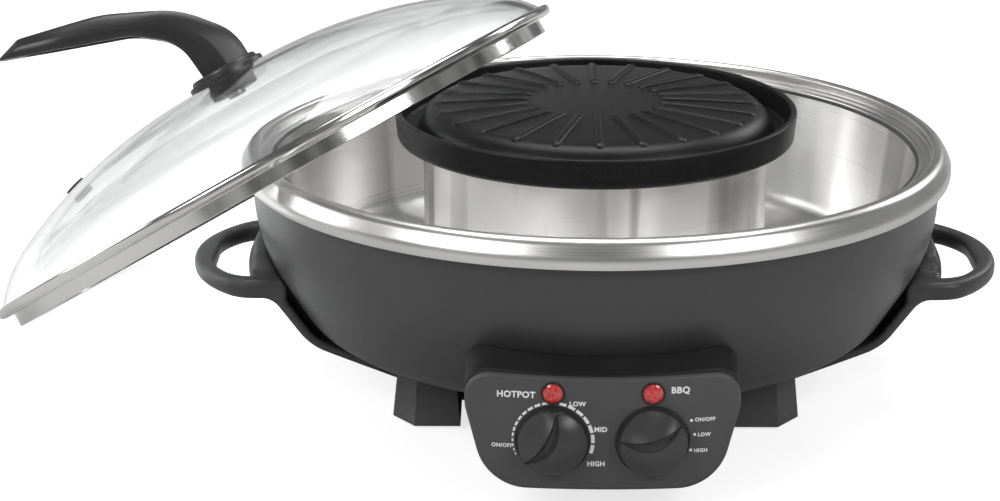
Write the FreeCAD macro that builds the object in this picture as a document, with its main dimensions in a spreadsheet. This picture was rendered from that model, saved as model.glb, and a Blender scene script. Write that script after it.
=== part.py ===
import FreeCAD, Part
import math
import os

import Sketcher

"""Electric hot pot: steel ring pot round a heated chimney, grill plate on top, loose glass lid.

The origin lies on the pot's axis, on the table. +Z is up, the control panel faces -Y.
All sizes are millimetres and degrees.
"""

DOC = FreeCAD.newDocument("HotPot")
SHEET = DOC.addObject("Spreadsheet::Sheet", "Sizes")

SIZES = [
    # steel pot
    ("rim_radius", 190.0, "outermost radius of the pot's rolled rim"),
    ("rim_top", 136.3, "height of the rim's crest above the table"),
    ("rim_width", 11.2, "crest band of the rim, from the lid step outwards"),
    ("rim_drop", 14.6, "crest to lower lip of the rim"),
    ("rim_tuck", 1.2, "how far the lip leans in under the rim"),
    ("rim_round", 7.5, "outer rounding of the rim"),
    ("step_drop", 6.0, "crest down to the ledge that carries the lid"),
    ("ledge_width", 6.3, "width of the ledge that carries the lid"),
    ("wall_lean", 10.5, "how much the pot wall leans in on its way down"),
    ("pot_depth", 70.3, "ledge down to the cooking floor"),
    ("pot_sheet", 1.2, "steel sheet of the pot"),
    ("pot_round", 12.0, "rounding between wall and floor"),
    ("spreader_thick", 3.0, "aluminium heat spreader under the floor"),
    ("spreader_width", 48.0, "width of the heat spreader ring"),
    ("spreader_gap", 4.0, "chimney foot to heat spreader"),
    # chimney
    ("chimney_radius", 92.0, "outside of the steel chimney"),
    ("chimney_sheet", 1.0, "steel sheet of the chimney"),
    ("chimney_rise", 0.5, "chimney edge above the rim's crest"),
    # grill plate
    ("seat_gap", 0.3, "play between lift-off pieces and their seats"),
    ("grill_radius", 107.4, "outer radius of the grill plate"),
    ("grill_height", 16.0, "height of the grill plate's side"),
    ("grill_flare", 1.5, "how much narrower the grill plate is at the bottom"),
    ("grill_wall", 3.2, "wall of the grill plate's edge"),
    ("grill_floor", 4.0, "thickness of the drip moat's floor"),
    ("grill_round", 3.0, "lower outer rounding of the grill plate"),
    ("moat_width", 7.5, "flat width of the drip moat"),
    ("dome_slope", 4.5, "width of the dome's steep shoulder"),
    ("dome_rise", 13.2, "height of the dome's shoulder above the moat"),
    ("dome_crown", 3.0, "rise from the dome's shoulder to its middle"),
    ("skirt_drop", 5.0, "locating skirt inside the chimney"),
    ("skirt_wall", 3.2, "wall of the locating skirt"),
    ("skirt_play", 0.8, "radial play of the locating skirt"),
    ("hollow_rise", 10.5, "hollow under the dome"),
    ("ridge_count", 24, "radial ridges on the dome"),
    ("ridge_width", 4.6, "width of one ridge"),
    ("ridge_height", 1.7, "height of one ridge above the dome"),
    ("ridge_inner", 34.0, "inner end of the ridges"),
    ("ridge_outset", 3.5, "outer end of the ridges to the dome's shoulder"),
    # outer bowl
    ("bowl_inset", 5.5, "rim's outer radius to the bowl's top"),
    ("bowl_sheet", 1.5, "steel sheet of the outer bowl"),
    ("waist_inset", 3.0, "bowl top radius to its waist"),
    ("waist_height", 86.0, "waist of the bowl above the table"),
    ("turn_inset", 30.0, "bowl top radius to its lower turn"),
    ("turn_height", 42.0, "lower turn of the bowl above the table"),
    ("flat_inset", 95.0, "bowl top radius to its flat bottom"),
    ("bowl_bottom", 14.0, "underside of the bowl above the table"),
    ("bowl_lip", 8.0, "inward lip that carries the pot"),
    ("waist_round", 80.0, "rounding at the waist"),
    ("turn_round", 28.0, "rounding at the lower turn"),
    ("flat_round", 30.0, "rounding at the flat bottom"),
    # arms and handles
    ("arm_width", 114.0, "width of an arm across the pot"),
    ("arm_thick", 4.5, "thickness of an arm"),
    ("arm_gap", 3.2, "air between bowl and arm"),
    ("arm_clearance", 4.0, "underside of the arms above the table"),
    ("arm_inner", 62.0, "inner end of an arm from the axis"),
    ("handle_reach", 27.0, "handle's outermost point beyond the rim"),
    ("handle_top", 72.5, "top of the handle loop above the table"),
    ("handle_thick", 10.5, "height of the handle loop"),
    ("handle_bar", 12.5, "width of the handle's bar"),
    ("handle_curve", 71.0, "radius of the handle's outer edge"),
    ("handle_half", 57.0, "half length of the handle at the bowl"),
    ("handle_corner", 21.0, "rounding between the handle's ends and its outer edge"),
    ("hole_half", 44.0, "half length of the finger hole"),
    ("hole_bevel", 14.5, "slanted outer corner of the finger hole, outwards"),
    ("hole_slope", 20.0, "slanted outer corner of the finger hole, along the bowl"),
    ("hole_corner", 17.0, "rounding at the slanted corner's start"),
    ("hole_bow", 38.0, "rounding at the slanted corner's end"),
    ("hole_end", 3.0, "rounding of the finger hole beside the bowl"),
    ("hole_root", 2.5, "inner edge of the finger hole from the bowl's top radius"),
    ("handle_soft", 3.8, "rounded edges of the handle"),
    ("ear_half", 36.0, "half length of the ear against the bowl"),
    ("ear_top", 80.0, "top of the ear above the table"),
    ("ear_gap", 0.4, "play between ear and bowl"),
    # feet
    ("foot_x", 71.0, "inner side of a foot from the middle"),
    ("foot_width", 36.0, "width of a foot"),
    ("foot_front", 81.5, "front of a foot from the middle"),
    ("foot_depth", 40.0, "depth of a foot"),
    ("foot_bevel", 12.0, "bevel on a foot's outer corner"),
    ("foot_flare", 3.5, "how much narrower a foot is at the top"),
    ("foot_top", 34.0, "height of a foot before the bowl cuts it"),
    ("pad_radius", 8.0, "rubber pad radius"),
    ("pad_height", 3.0, "rubber pad height"),
    ("pad_stand", 1.2, "how far a pad stands out below its foot"),
    # base plate and its screws
    ("plate_radius", 76.0, "radius of the base plate"),
    ("plate_thick", 1.5, "thickness of the base plate"),
    ("screw_radius", 1.7, "radius of small screws"),
    ("screw_head", 3.4, "head radius of small screws"),
    ("screw_head_height", 2.0, "head height of small screws"),
    ("bore_play", 0.2, "play of a screw in its bore"),
    ("handle_bore_start", 30.0, "bowl's top radius to the inner end of a handle bore"),
    ("handle_bore_length", 28.0, "length of a handle bore"),
    ("handle_screw_height", 74.0, "handle screws above the table"),
    ("handle_screw_start", 15.9, "bowl's top radius to the head of a handle screw"),
    ("handle_screw_length", 13.0, "shank of a handle screw"),
    ("housing_screw_ring", 30.0, "bowl's top radius to the head of a housing screw"),
    ("housing_screw_length", 18.0, "shank of a housing screw"),
    ("plate_screw_ring", 69.0, "ring of the base plate's screws"),
    # control housing and panel
    ("panel_reach", 3.0, "front of the panel beyond the rim"),
    ("panel_curve", 350.0, "plan radius of the panel's face"),
    ("panel_half", 66.5, "half width of the panel"),
    ("panel_top", 70.5, "top of the panel above the table"),
    ("panel_low", 12.0, "bottom of the panel above the table"),
    ("panel_shoulder", 53.0, "height where the panel's sides start to lean in"),
    ("panel_base_half", 55.8, "half width of the panel at its bottom"),
    ("panel_sag", 2.0, "how much lower the top edge is in its middle"),
    ("panel_corner", 12.5, "upper corner rounding of the panel"),
    ("panel_low_corner", 25.0, "lower corner rounding of the panel"),
    ("panel_skin", 2.5, "thickness of the panel"),
    ("panel_gap", 0.3, "play between housing and panel"),
    ("housing_wall", 2.6, "wall of the control housing"),
    ("boss_radius", 8.2, "radius of the housing's screw bosses"),
    ("boss_inset", 10.5, "panel's side to the middle of a boss"),
    ("boss_drop", 3.0, "panel's shoulder down to the middle of a boss"),
    ("boss_front", 9.0, "panel's face to the front of a boss"),
    ("boss_end", 5.0, "blind end of a boss's bore to its front"),
    ("brow_depth", 32.0, "length of the housing's raised brow"),
    ("notch_width", 24.0, "width of the notch for the supply leads"),
    ("notch_length", 30.0, "length of the notch for the supply leads"),
    ("housing_back", 100.0, "back end of the housing from the pot's axis"),
    ("housing_gap", 0.4, "play between housing and bowl"),
    # knobs, lamps and what is behind them
    ("control_x", 24.0, "knobs and lamps from the middle"),
    ("knob_height", 37.8, "knob axes above the table"),
    ("lamp_height", 62.0, "lamps above the table"),
    ("knob_radius", 16.5, "radius of a knob"),
    ("knob_base", 5.5, "height of a knob's rim"),
    ("knob_dome", 7.0, "dome of a knob above its rim"),
    ("knob_scoop", 6.2, "finger scoop from the knob's axis"),
    ("recess_radius", 18.0, "round recess of a knob in the panel"),
    ("recess_depth", 1.2, "depth of that recess"),
    ("knob_air", 0.5, "air under a knob"),
    ("shaft_radius", 3.0, "radius of a control shaft"),
    ("shaft_play", 0.06, "radial play of a shaft in its bush"),
    ("bush_radius", 4.6, "radius of a control's threaded bush"),
    ("bush_hole_play", 0.2, "play of a bush in the panel"),
    ("nut_thick", 1.8, "thickness of the control's nut"),
    ("nut_radius", 6.4, "radius of the control's nut"),
    ("shaft_grip", 7.0, "length of shaft inside a knob"),
    ("control_width", 25.0, "width of a control's case"),
    ("control_depth", 13.0, "depth of a control's case"),
    ("control_gap", 0.5, "air between a control's case and the panel"),
    ("tab_drop", 6.95, "tabs of a control below its middle"),
    ("tab_width", 4.8, "width of a control's tab"),
    ("tab_thick", 0.8, "thickness of a control's tab"),
    ("tab_length", 6.0, "length of a control's tab"),
    ("lens_radius", 4.1, "radius of a lamp lens"),
    ("lens_stand", 1.6, "how far a lens stands out of the panel"),
    ("holder_wall", 1.0, "wall of a lamp holder"),
    ("holder_flange", 1.0, "flange of a lamp holder"),
    ("lamp_depth", 12.0, "length of a lamp behind the panel"),
    # heaters and the centre column
    ("heater_radius", 124.0, "radius of the ring heater"),
    ("heater_tube", 4.0, "radius of the heater tube"),
    ("heater_gap", 0.8, "heater to heat spreader"),
    ("heater_open", 32.0, "opening of a heater ring at its ends"),
    ("heater_facing", 270.0, "compass direction of a heater's opening"),
    ("heater_leg", 17.0, "length of the ring heater's legs"),
    ("grill_leg", 24.0, "length of the grill heater's legs"),
    ("lead_window", 10.0, "height of the bowl's opening for the leads"),
    ("reflector_inner", 66.0, "inner radius of the lower reflector"),
    ("reflector_outer", 142.0, "outer radius of the lower reflector"),
    ("reflector_sheet", 0.8, "reflector sheet"),
    ("reflector_drop", 9.0, "heater's middle down to the lower reflector"),
    ("post_radius", 4.0, "radius of the reflector's posts"),
    ("post_ring", 74.0, "ring of the reflector's posts"),
    ("clip_width", 9.0, "width of a heater clip"),
    ("clip_thick", 2.0, "thickness of a heater clip"),
    ("clip_bite", 1.5, "clip's top above the heater's middle"),
    ("ring_clip_start", 45.0, "compass direction of the first ring heater clip"),
    ("grill_clip_start", 30.0, "compass direction of the first grill heater clip"),
    ("sensor_radius", 5.0, "radius of the temperature sensor"),
    ("fuse_radius", 3.2, "radius of the thermal fuse"),
    ("fuse_length", 22.0, "length of the thermal fuse"),
    ("column_radius", 30.0, "radius of the centre column"),
    ("column_sheet", 1.5, "sheet of the centre column"),
    ("column_flange", 12.0, "width of the column's foot flange"),
    ("grill_heater_radius", 60.0, "radius of the grill heater"),
    ("grill_heater_gap", 6.0, "grill heater to the hollow of the grill plate"),
    ("dish_radius", 82.0, "radius of the upper reflector dish"),
    ("dish_drop", 13.0, "grill heater's middle down to the dish"),
    ("dish_rim", 9.0, "height of the dish's rim"),
    # power inlet
    ("inlet_half", 26.0, "half width of the inlet housing"),
    ("inlet_top", 52.0, "top of the inlet housing above the table"),
    ("inlet_back", 172.0, "face of the inlet from the pot's axis"),
    ("inlet_front", 100.0, "inner end of the inlet housing"),
    ("socket_width", 27.0, "opening of the inlet socket"),
    ("socket_height", 19.0, "height of the inlet socket's opening"),
    ("socket_depth", 16.0, "depth of the inlet socket"),
    ("socket_centre", 30.0, "middle of the socket above the table"),
    ("pin_pitch", 7.0, "pitch of the inlet pins"),
    ("lead_radius", 1.2, "radius of an insulated supply lead"),
    ("lead_pitch", 4.0, "pitch of the supply leads"),
    ("lead_end", 12.0, "end of a grill heater lead from its control"),
    ("block_width", 26.0, "width of the terminal block"),
    ("block_depth", 14.0, "depth of the terminal block"),
    ("block_height", 10.0, "height of the terminal block"),
    ("block_reach", 52.0, "housing's back end to the middle of the terminal block"),
    # lid
    ("lid_play", 0.8, "radial play of the lid in its step"),
    ("band_height", 5.8, "height of the lid's rolled band"),
    ("band_wall", 1.3, "wall of the lid's skirt"),
    ("band_lip", 2.0, "width of the band's lip outside the glass"),
    ("band_shelf", 2.2, "thickness of the band's shelf"),
    ("band_ledge", 8.4, "how far the band stands out beyond the skirt"),
    ("lid_skirt_drop", 8.0, "skirt below the band's shelf"),
    ("glass_thick", 4.0, "thickness of the glass"),
    ("glass_rise", 55.0, "crown of the glass above the band's shelf"),
    ("crown_inset", 118.0, "glass edge to the crown's turn"),
    ("crown_drop", 14.2, "crown down to the glass's middle turn"),
    ("shoulder_inset", 58.0, "glass edge to the middle turn"),
    ("brow_inset", 15.0, "glass edge to the outer turn"),
    ("brow_height", 19.8, "height of the outer turn"),
    ("seal_height", 0.8, "lid seal between glass and band"),
    ("lean_angle", 32.2, "tilt of the resting lid"),
    ("lean_turn", -22.9, "compass turn of the resting lid's high side"),
    ("lid_spin", 32.2, "turn of the lid about its own axis"),
    ("vent_ring", 105.0, "steam vent from the lid's axis"),
    ("vent_radius", 3.6, "outside of the steam vent's tube"),
    ("vent_hole", 2.0, "radius of the steam hole"),
    ("vent_flange", 6.2, "flange radius of the steam vent"),
    ("vent_flange_thick", 1.2, "flange thickness of the steam vent"),
    # lid handle
    ("disc_radius", 22.7, "base disc of the lid handle"),
    ("disc_edge", 2.4, "edge height of the base disc"),
    ("disc_height", 4.8, "height of the base disc"),
    ("disc_top", 18.5, "upper radius of the base disc"),
    ("neck_half", 14.5, "half length of the handle's neck"),
    ("neck_shift", 2.4, "middle of the neck beyond the lid's axis, away from the grip"),
    ("grip_width", 25.0, "width of the handle's grip"),
    ("neck_width", 21.0, "width of the handle's neck"),
    ("tip_width", 15.0, "width of the handle's tip"),
    ("grip_reach", 107.0, "tip of the handle from the lid's axis"),
    ("grip_tip_height", 66.4, "tip of the handle above the base disc"),
    ("beak", 15.0, "slanted end of the handle"),
    ("grip_edge", 1.5, "bevel along the handle's top"),
    ("groove_width", 12.0, "hollow under the grip"),
    ("groove_depth", 4.0, "depth of that hollow"),
    ("lid_washer_radius", 14.0, "washer under the glass"),
    ("lid_washer_thick", 3.0, "thickness of that washer"),
    ("lid_screw_radius", 3.0, "radius of the handle's screw"),
    ("lid_screw_grip", 14.0, "screw's length inside the handle"),
    ("lid_screw_head", 5.5, "head radius of the handle's screw"),
    ("table_gap", 0.3, "lowest edge of the resting lid above the table"),
]

for row, (alias, number, meaning) in enumerate(SIZES, start=1):
    SHEET.set(f"A{row}", str(number))
    SHEET.setAlias(f"A{row}", alias)
    SHEET.set(f"B{row}", meaning)
DOC.recompute()


# Heights and radii that several pieces share, written with the sheet's names.
LIP_Z = "(Sizes.rim_top - Sizes.rim_drop)"
LEDGE_Z = "(Sizes.rim_top - Sizes.step_drop)"
STEP_R = "(Sizes.rim_radius - Sizes.rim_width)"
WALL_R = "(Sizes.rim_radius - Sizes.rim_width - Sizes.ledge_width)"
WALL_FOOT_R = f"({WALL_R} - Sizes.wall_lean)"
FLOOR_Z = f"({LEDGE_Z} - Sizes.pot_depth)"
FLOOR_LOW_Z = f"({FLOOR_Z} - Sizes.pot_sheet)"
SPREADER_LOW_Z = f"({FLOOR_LOW_Z} - Sizes.spreader_thick)"
CHIMNEY_TOP_Z = "(Sizes.rim_top + Sizes.chimney_rise)"
GRILL_LOW_Z = f"({CHIMNEY_TOP_Z} + Sizes.seat_gap)"
MOAT_OUT_R = "(Sizes.grill_radius - Sizes.grill_flare - Sizes.grill_wall)"
DOME_FOOT_R = f"({MOAT_OUT_R} - Sizes.moat_width)"
DOME_TOP_R = f"({DOME_FOOT_R} - Sizes.dome_slope)"
MOAT_Z = f"({GRILL_LOW_Z} + Sizes.grill_floor)"
SHOULDER_Z = f"({MOAT_Z} + Sizes.dome_rise)"
CROWN_Z = f"({SHOULDER_Z} + Sizes.dome_crown)"
SKIRT_R = "(Sizes.chimney_radius - Sizes.chimney_sheet - Sizes.skirt_play)"
BOWL_R = "(Sizes.rim_radius - Sizes.bowl_inset)"
BOWL_TOP_Z = f"({LEDGE_Z} - Sizes.pot_sheet - Sizes.seat_gap)"
BOWL_FLOOR_Z = "(Sizes.bowl_bottom + Sizes.bowl_sheet)"
PANEL_Y = "(Sizes.rim_radius + Sizes.panel_reach)"
HEATER_Z = f"({SPREADER_LOW_Z} - Sizes.heater_gap - Sizes.heater_tube)"
REFLECTOR_Z = f"({HEATER_Z} - Sizes.reflector_drop)"
GRILL_HEATER_Z = f"({GRILL_LOW_Z} + Sizes.hollow_rise - Sizes.grill_heater_gap - Sizes.heater_tube)"
DISH_Z = f"({GRILL_HEATER_Z} - Sizes.dish_drop)"
LID_R = f"({STEP_R} - Sizes.lid_play)"
LID_SKIRT_R = f"({LID_R} - Sizes.band_ledge)"
GLASS_R = f"({LID_R} - Sizes.band_lip - 0.2)"


def value(text):
    """The present number of an expression."""
    return float(SHEET.evalExpression(str(text)))


def vector(x=0, y=0, z=0):
    """A point whose coordinates are expressions."""
    return FreeCAD.Vector(value(x), value(y), value(z))


def turned(axis, angle):
    """A rotation about one of the three directions."""
    return FreeCAD.Rotation(FreeCAD.Vector(*axis), value(angle))


X_DIR = (1, 0, 0)
Y_DIR = (0, 1, 0)
Z_DIR = (0, 0, 1)


# ---------------------------------------------------------------- drawing helpers

def pin(sketch, geometry, point, x, y):
    """Hold a sketch point at two expressions."""
    for kind, expression in (("DistanceX", x), ("DistanceY", y)):
        number = value(expression)
        index = sketch.addConstraint(Sketcher.Constraint(kind, geometry, point, number))
        sketch.setExpression(f"Constraints[{index}]", expression)


def corner_arc(before, corner, after, radius):
    """Tangent points and centre of a rounded corner."""
    back = (before - corner).normalize()
    ahead = (after - corner).normalize()
    half = back.getAngle(ahead) / 2
    reach = radius / math.tan(half)
    middle = (back + ahead).normalize()
    centre = corner + middle * (radius / math.sin(half))
    return corner + back * reach, corner + ahead * reach, centre


def outline(sketch, corners):
    """Draw a closed outline; a corner is (x, y) or (x, y, rounding radius)."""
    spots = [vector(corner[0], corner[1]) for corner in corners]
    count = len(corners)
    entries = list(spots)
    exits = list(spots)
    centres = [None] * count
    for i, corner in enumerate(corners):
        if len(corner) > 2:
            radius = value(corner[2])
            entries[i], exits[i], centres[i] = corner_arc(
                spots[i - 1], spots[i], spots[(i + 1) % count], radius)
    sides = []
    for i in range(count):
        segment = Part.LineSegment(exits[i], entries[(i + 1) % count])
        sides.append(sketch.addGeometry(segment))
    for i, corner in enumerate(corners):
        arriving = sides[i - 1]
        leaving = sides[i]
        if centres[i] is None:
            sketch.addConstraint(Sketcher.Constraint("Coincident", arriving, 2, leaving, 1))
            pin(sketch, leaving, 1, corner[0], corner[1])
            continue
        round_corner(sketch, corner, entries[i], exits[i], centres[i], arriving, leaving)


def round_corner(sketch, corner, entry, leave, centre, arriving, leaving):
    """Add one tangent arc and pin the sharp corner that it replaces."""
    first = entry - centre
    last = leave - centre
    forward = first.cross(last).z > 0
    start, end = (first, last) if forward else (last, first)
    circle = Part.Circle(centre, FreeCAD.Vector(0, 0, 1), first.Length)
    low = math.atan2(start.y, start.x)
    high = math.atan2(end.y, end.x)
    if high < low:
        high += 2 * math.pi
    arc = sketch.addGeometry(Part.ArcOfCircle(circle, low, high))
    entry_end, leave_end = (1, 2) if forward else (2, 1)
    sketch.addConstraint(Sketcher.Constraint("Tangent", arriving, 2, arc, entry_end))
    sketch.addConstraint(Sketcher.Constraint("Tangent", arc, leave_end, leaving, 1))
    radius = sketch.addConstraint(Sketcher.Constraint("Radius", arc, first.Length))
    sketch.setExpression(f"Constraints[{radius}]", corner[2])
    spot = sketch.addGeometry(Part.Point(vector(corner[0], corner[1])), True)
    pin(sketch, spot, 1, corner[0], corner[1])
    sketch.addConstraint(Sketcher.Constraint("PointOnObject", spot, 1, arriving))
    sketch.addConstraint(Sketcher.Constraint("PointOnObject", spot, 1, leaving))


def new_sketch(body, plane, corners, offset="0"):
    """A sketch on one of a body's own planes, pushed along its normal."""
    sketch = body.newObject("Sketcher::SketchObject", body.Name + "Sketch")
    support = next(item for item in body.Origin.OriginFeatures if item.Role == plane)
    sketch.AttachmentSupport = [(support, "")]
    sketch.MapMode = "FlatFace"
    sketch.setExpression("AttachmentOffset.Base.z", offset)
    outline(sketch, corners)
    return sketch


def new_body(name):
    """An empty PartDesign body."""
    return DOC.addObject("PartDesign::Body", name)


def turn_in(body, corners, angle=360):
    """Revolve an (radius, height) outline about the body's Z axis."""
    sketch = new_sketch(body, "XZ_Plane", corners)
    feature = body.newObject("PartDesign::Revolution", body.Name + "Turn")
    feature.Profile = sketch
    feature.ReferenceAxis = (sketch, ["V_Axis"])
    feature.Angle = angle
    return feature


def pad_in(body, plane, corners, length, offset="0", both=False):
    """Pad an outline from one of the body's planes."""
    sketch = new_sketch(body, plane, corners, offset)
    feature = body.newObject("PartDesign::Pad", body.Name + "Pad")
    feature.Profile = sketch
    feature.Midplane = both
    feature.setExpression("Length", length)
    return feature


def ring_body(name, corners, angle=360):
    """A body of revolution."""
    body = new_body(name)
    turn_in(body, corners, angle)
    return body


def block_body(name, plane, corners, length, offset="0", both=False):
    """A padded body."""
    body = new_body(name)
    pad_in(body, plane, corners, length, offset, both)
    return body


def cylinder(name, radius, height, base=None, rotation=None):
    """A Part cylinder bound to the sheet."""
    solid = DOC.addObject("Part::Cylinder", name)
    solid.setExpression("Radius", radius)
    solid.setExpression("Height", height)
    place(solid, base, rotation)
    return solid


def box(name, length, width, height, base=None, rotation=None):
    """A Part box bound to the sheet, centred on X and Y."""
    solid = DOC.addObject("Part::Box", name)
    solid.setExpression("Length", length)
    solid.setExpression("Width", width)
    solid.setExpression("Height", height)
    middle = FreeCAD.Vector(-value(length) / 2, -value(width) / 2, 0)
    base = base or FreeCAD.Vector()
    rotation = rotation or FreeCAD.Rotation()
    solid.Placement = FreeCAD.Placement(base, rotation) * FreeCAD.Placement(middle, FreeCAD.Rotation())
    return solid


def place(solid, base=None, rotation=None):
    """Put a solid somewhere."""
    solid.Placement = FreeCAD.Placement(base or FreeCAD.Vector(), rotation or FreeCAD.Rotation())
    return solid


def fuse(name, *pieces):
    """Join pieces into one solid."""
    joined = DOC.addObject("Part::MultiFuse", name)
    joined.Shapes = list(pieces)
    joined.Refine = True
    return joined


def common(name, *pieces):
    """Keep what all the pieces share."""
    shared = DOC.addObject("Part::MultiCommon", name)
    shared.Shapes = list(pieces)
    return shared


def cut(name, base, *tools):
    """Take tools away from a base."""
    for number, tool in enumerate(tools):
        result = DOC.addObject("Part::Cut", f"{name}{number}")
        result.Base = base
        result.Tool = tool
        base = result
    return base


def group(name, pieces):
    """Hold several separate solids as one shape."""
    bundle = DOC.addObject("Part::Compound", name)
    bundle.Links = pieces
    return bundle


NODES = []


def node(label, thing):
    """Name a finished sub-part; the label is also its file's name."""
    thing.Label = label
    NODES.append(thing)
    return thing


def rounded_edges(name, base, radius, chosen):
    """Fillet the edges of a finished solid that a test picks."""
    DOC.recompute()
    feature = DOC.addObject("Part::Fillet", name)
    feature.Base = base
    size = value(radius)
    feature.Edges = [(number, size, size) for number, edge in enumerate(base.Shape.Edges, start=1)
                     if chosen(edge)]
    return feature


# ---------------------------------------------------------------- steel pot

def make_inner_pot():
    """Steel pot with a bull-nose rim, a ledge for the lid and a flat ring floor."""
    sheet = "Sizes.pot_sheet"
    lip_r = "(Sizes.rim_radius - Sizes.rim_tuck)"
    corners = [
        (lip_r, LIP_Z),
        ("Sizes.rim_radius", "Sizes.rim_top", "Sizes.rim_round"),
        (STEP_R, "Sizes.rim_top", "2.5"),
        (STEP_R, LEDGE_Z, "1"),
        (WALL_R, LEDGE_Z, "2"),
        (WALL_FOOT_R, FLOOR_Z, "Sizes.pot_round"),
        ("Sizes.chimney_radius", FLOOR_Z),
        ("Sizes.chimney_radius", FLOOR_LOW_Z),
        (f"{WALL_FOOT_R} + {sheet}", FLOOR_LOW_Z, f"Sizes.pot_round + {sheet}"),
        (f"{WALL_R} + {sheet}", f"{LEDGE_Z} - {sheet}", "0.8"),
        (f"{STEP_R} + {sheet}", f"{LEDGE_Z} - {sheet}", "1"),
        (f"{STEP_R} + {sheet}", f"Sizes.rim_top - {sheet}", "1.3"),
        (f"Sizes.rim_radius - {sheet}", f"Sizes.rim_top - {sheet}", f"Sizes.rim_round - {sheet}"),
        (f"{lip_r} - {sheet}", LIP_Z),
    ]
    node("inner_pot", ring_body("InnerPot", corners))


def make_chimney():
    """Steel tube in the middle of the pot, open below and above."""
    inner = "(Sizes.chimney_radius - Sizes.chimney_sheet)"
    corners = [
        (inner, FLOOR_LOW_Z),
        ("Sizes.chimney_radius", FLOOR_LOW_Z),
        ("Sizes.chimney_radius", CHIMNEY_TOP_Z),
        (inner, CHIMNEY_TOP_Z),
    ]
    node("centre_chimney", ring_body("Chimney", corners))


def make_spreader():
    """Aluminium ring under the cooking floor."""
    inner = "(Sizes.chimney_radius + Sizes.spreader_gap)"
    corners = [
        (inner, SPREADER_LOW_Z),
        (f"{inner} + Sizes.spreader_width", SPREADER_LOW_Z),
        (f"{inner} + Sizes.spreader_width", FLOOR_LOW_Z),
        (inner, FLOOR_LOW_Z),
    ]
    node("heat_spreader", ring_body("Spreader", corners))


# ---------------------------------------------------------------- grill plate

def make_grill_plate():
    """Cast plate: rim, drip moat, dome with radial ridges, skirt that drops into the chimney."""
    body = new_body("GrillPlate")
    skirt_in = f"({SKIRT_R} - Sizes.skirt_wall)"
    hollow_z = f"({GRILL_LOW_Z} + Sizes.hollow_rise)"
    low_r = "(Sizes.grill_radius - Sizes.grill_flare)"
    top_z = f"({GRILL_LOW_Z} + Sizes.grill_height)"
    corners = [
        ("0", hollow_z),
        (skirt_in, hollow_z, "2"),
        (skirt_in, f"{GRILL_LOW_Z} - Sizes.skirt_drop"),
        (SKIRT_R, f"{GRILL_LOW_Z} - Sizes.skirt_drop", "0.8"),
        (SKIRT_R, GRILL_LOW_Z),
        (low_r, GRILL_LOW_Z, "Sizes.grill_round"),
        ("Sizes.grill_radius", top_z, "0.9"),
        ("Sizes.grill_radius - Sizes.grill_wall", top_z, "0.9"),
        (MOAT_OUT_R, MOAT_Z, "2.5"),
        (DOME_FOOT_R, MOAT_Z, "1.5"),
        (DOME_TOP_R, SHOULDER_Z, "6"),
        (f"{DOME_TOP_R} / 2", f"{CROWN_Z} - Sizes.dome_crown / 5", "90"),
        ("0", CROWN_Z),
    ]
    turn_in(body, corners)
    ridge_out = f"({DOME_TOP_R} - Sizes.ridge_outset)"
    ridge_corners = [
        ("Sizes.ridge_inner", f"{SHOULDER_Z} - 1"),
        (ridge_out, f"{SHOULDER_Z} - 1"),
        (ridge_out, f"{SHOULDER_Z} + Sizes.ridge_height", "Sizes.ridge_height"),
        (f"{DOME_TOP_R} / 2", f"{CROWN_Z} - Sizes.dome_crown / 5 + Sizes.ridge_height", "90"),
        ("Sizes.ridge_inner", f"{CROWN_Z} - Sizes.dome_crown / 8 + Sizes.ridge_height",
         "Sizes.ridge_height"),
    ]
    ridge = pad_in(body, "XZ_Plane", ridge_corners, "Sizes.ridge_width", both=True)
    DOC.recompute()
    pattern = body.newObject("PartDesign::PolarPattern", "RidgePattern")
    pattern.Originals = [ridge]
    axis = next(item for item in body.Origin.OriginFeatures if item.Role == "Z_Axis")
    pattern.Axis = (axis, [""])
    pattern.Angle = 360
    pattern.setExpression("Occurrences", "Sizes.ridge_count")
    body.Tip = pattern
    node("grill_plate", body)


# ---------------------------------------------------------------- outer bowl

def bowl_corners(grow, top):
    """Outer profile of the bowl, grown outwards, as corners from the top down to the axis."""
    radius = f"({BOWL_R} + {grow})"
    return [
        (radius, top),
        (f"{radius} - Sizes.waist_inset", f"Sizes.waist_height - {grow} / 4",
         f"Sizes.waist_round + {grow}"),
        (f"{radius} - Sizes.turn_inset - {grow} / 6", f"Sizes.turn_height - {grow} * 0.7",
         f"Sizes.turn_round + {grow}"),
        (f"{radius} - Sizes.flat_inset - {grow} / 2", f"Sizes.bowl_bottom - {grow}",
         f"Sizes.flat_round + {grow}"),
        ("0", f"Sizes.bowl_bottom - {grow}"),
    ]


def bowl_envelope(name, grow, top="Sizes.rim_top"):
    """A solid as large as the bowl and its surroundings, for cutting neighbours back."""
    corners = [("0", top)] + bowl_corners(grow, top)
    return ring_body(name, corners)


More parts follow.
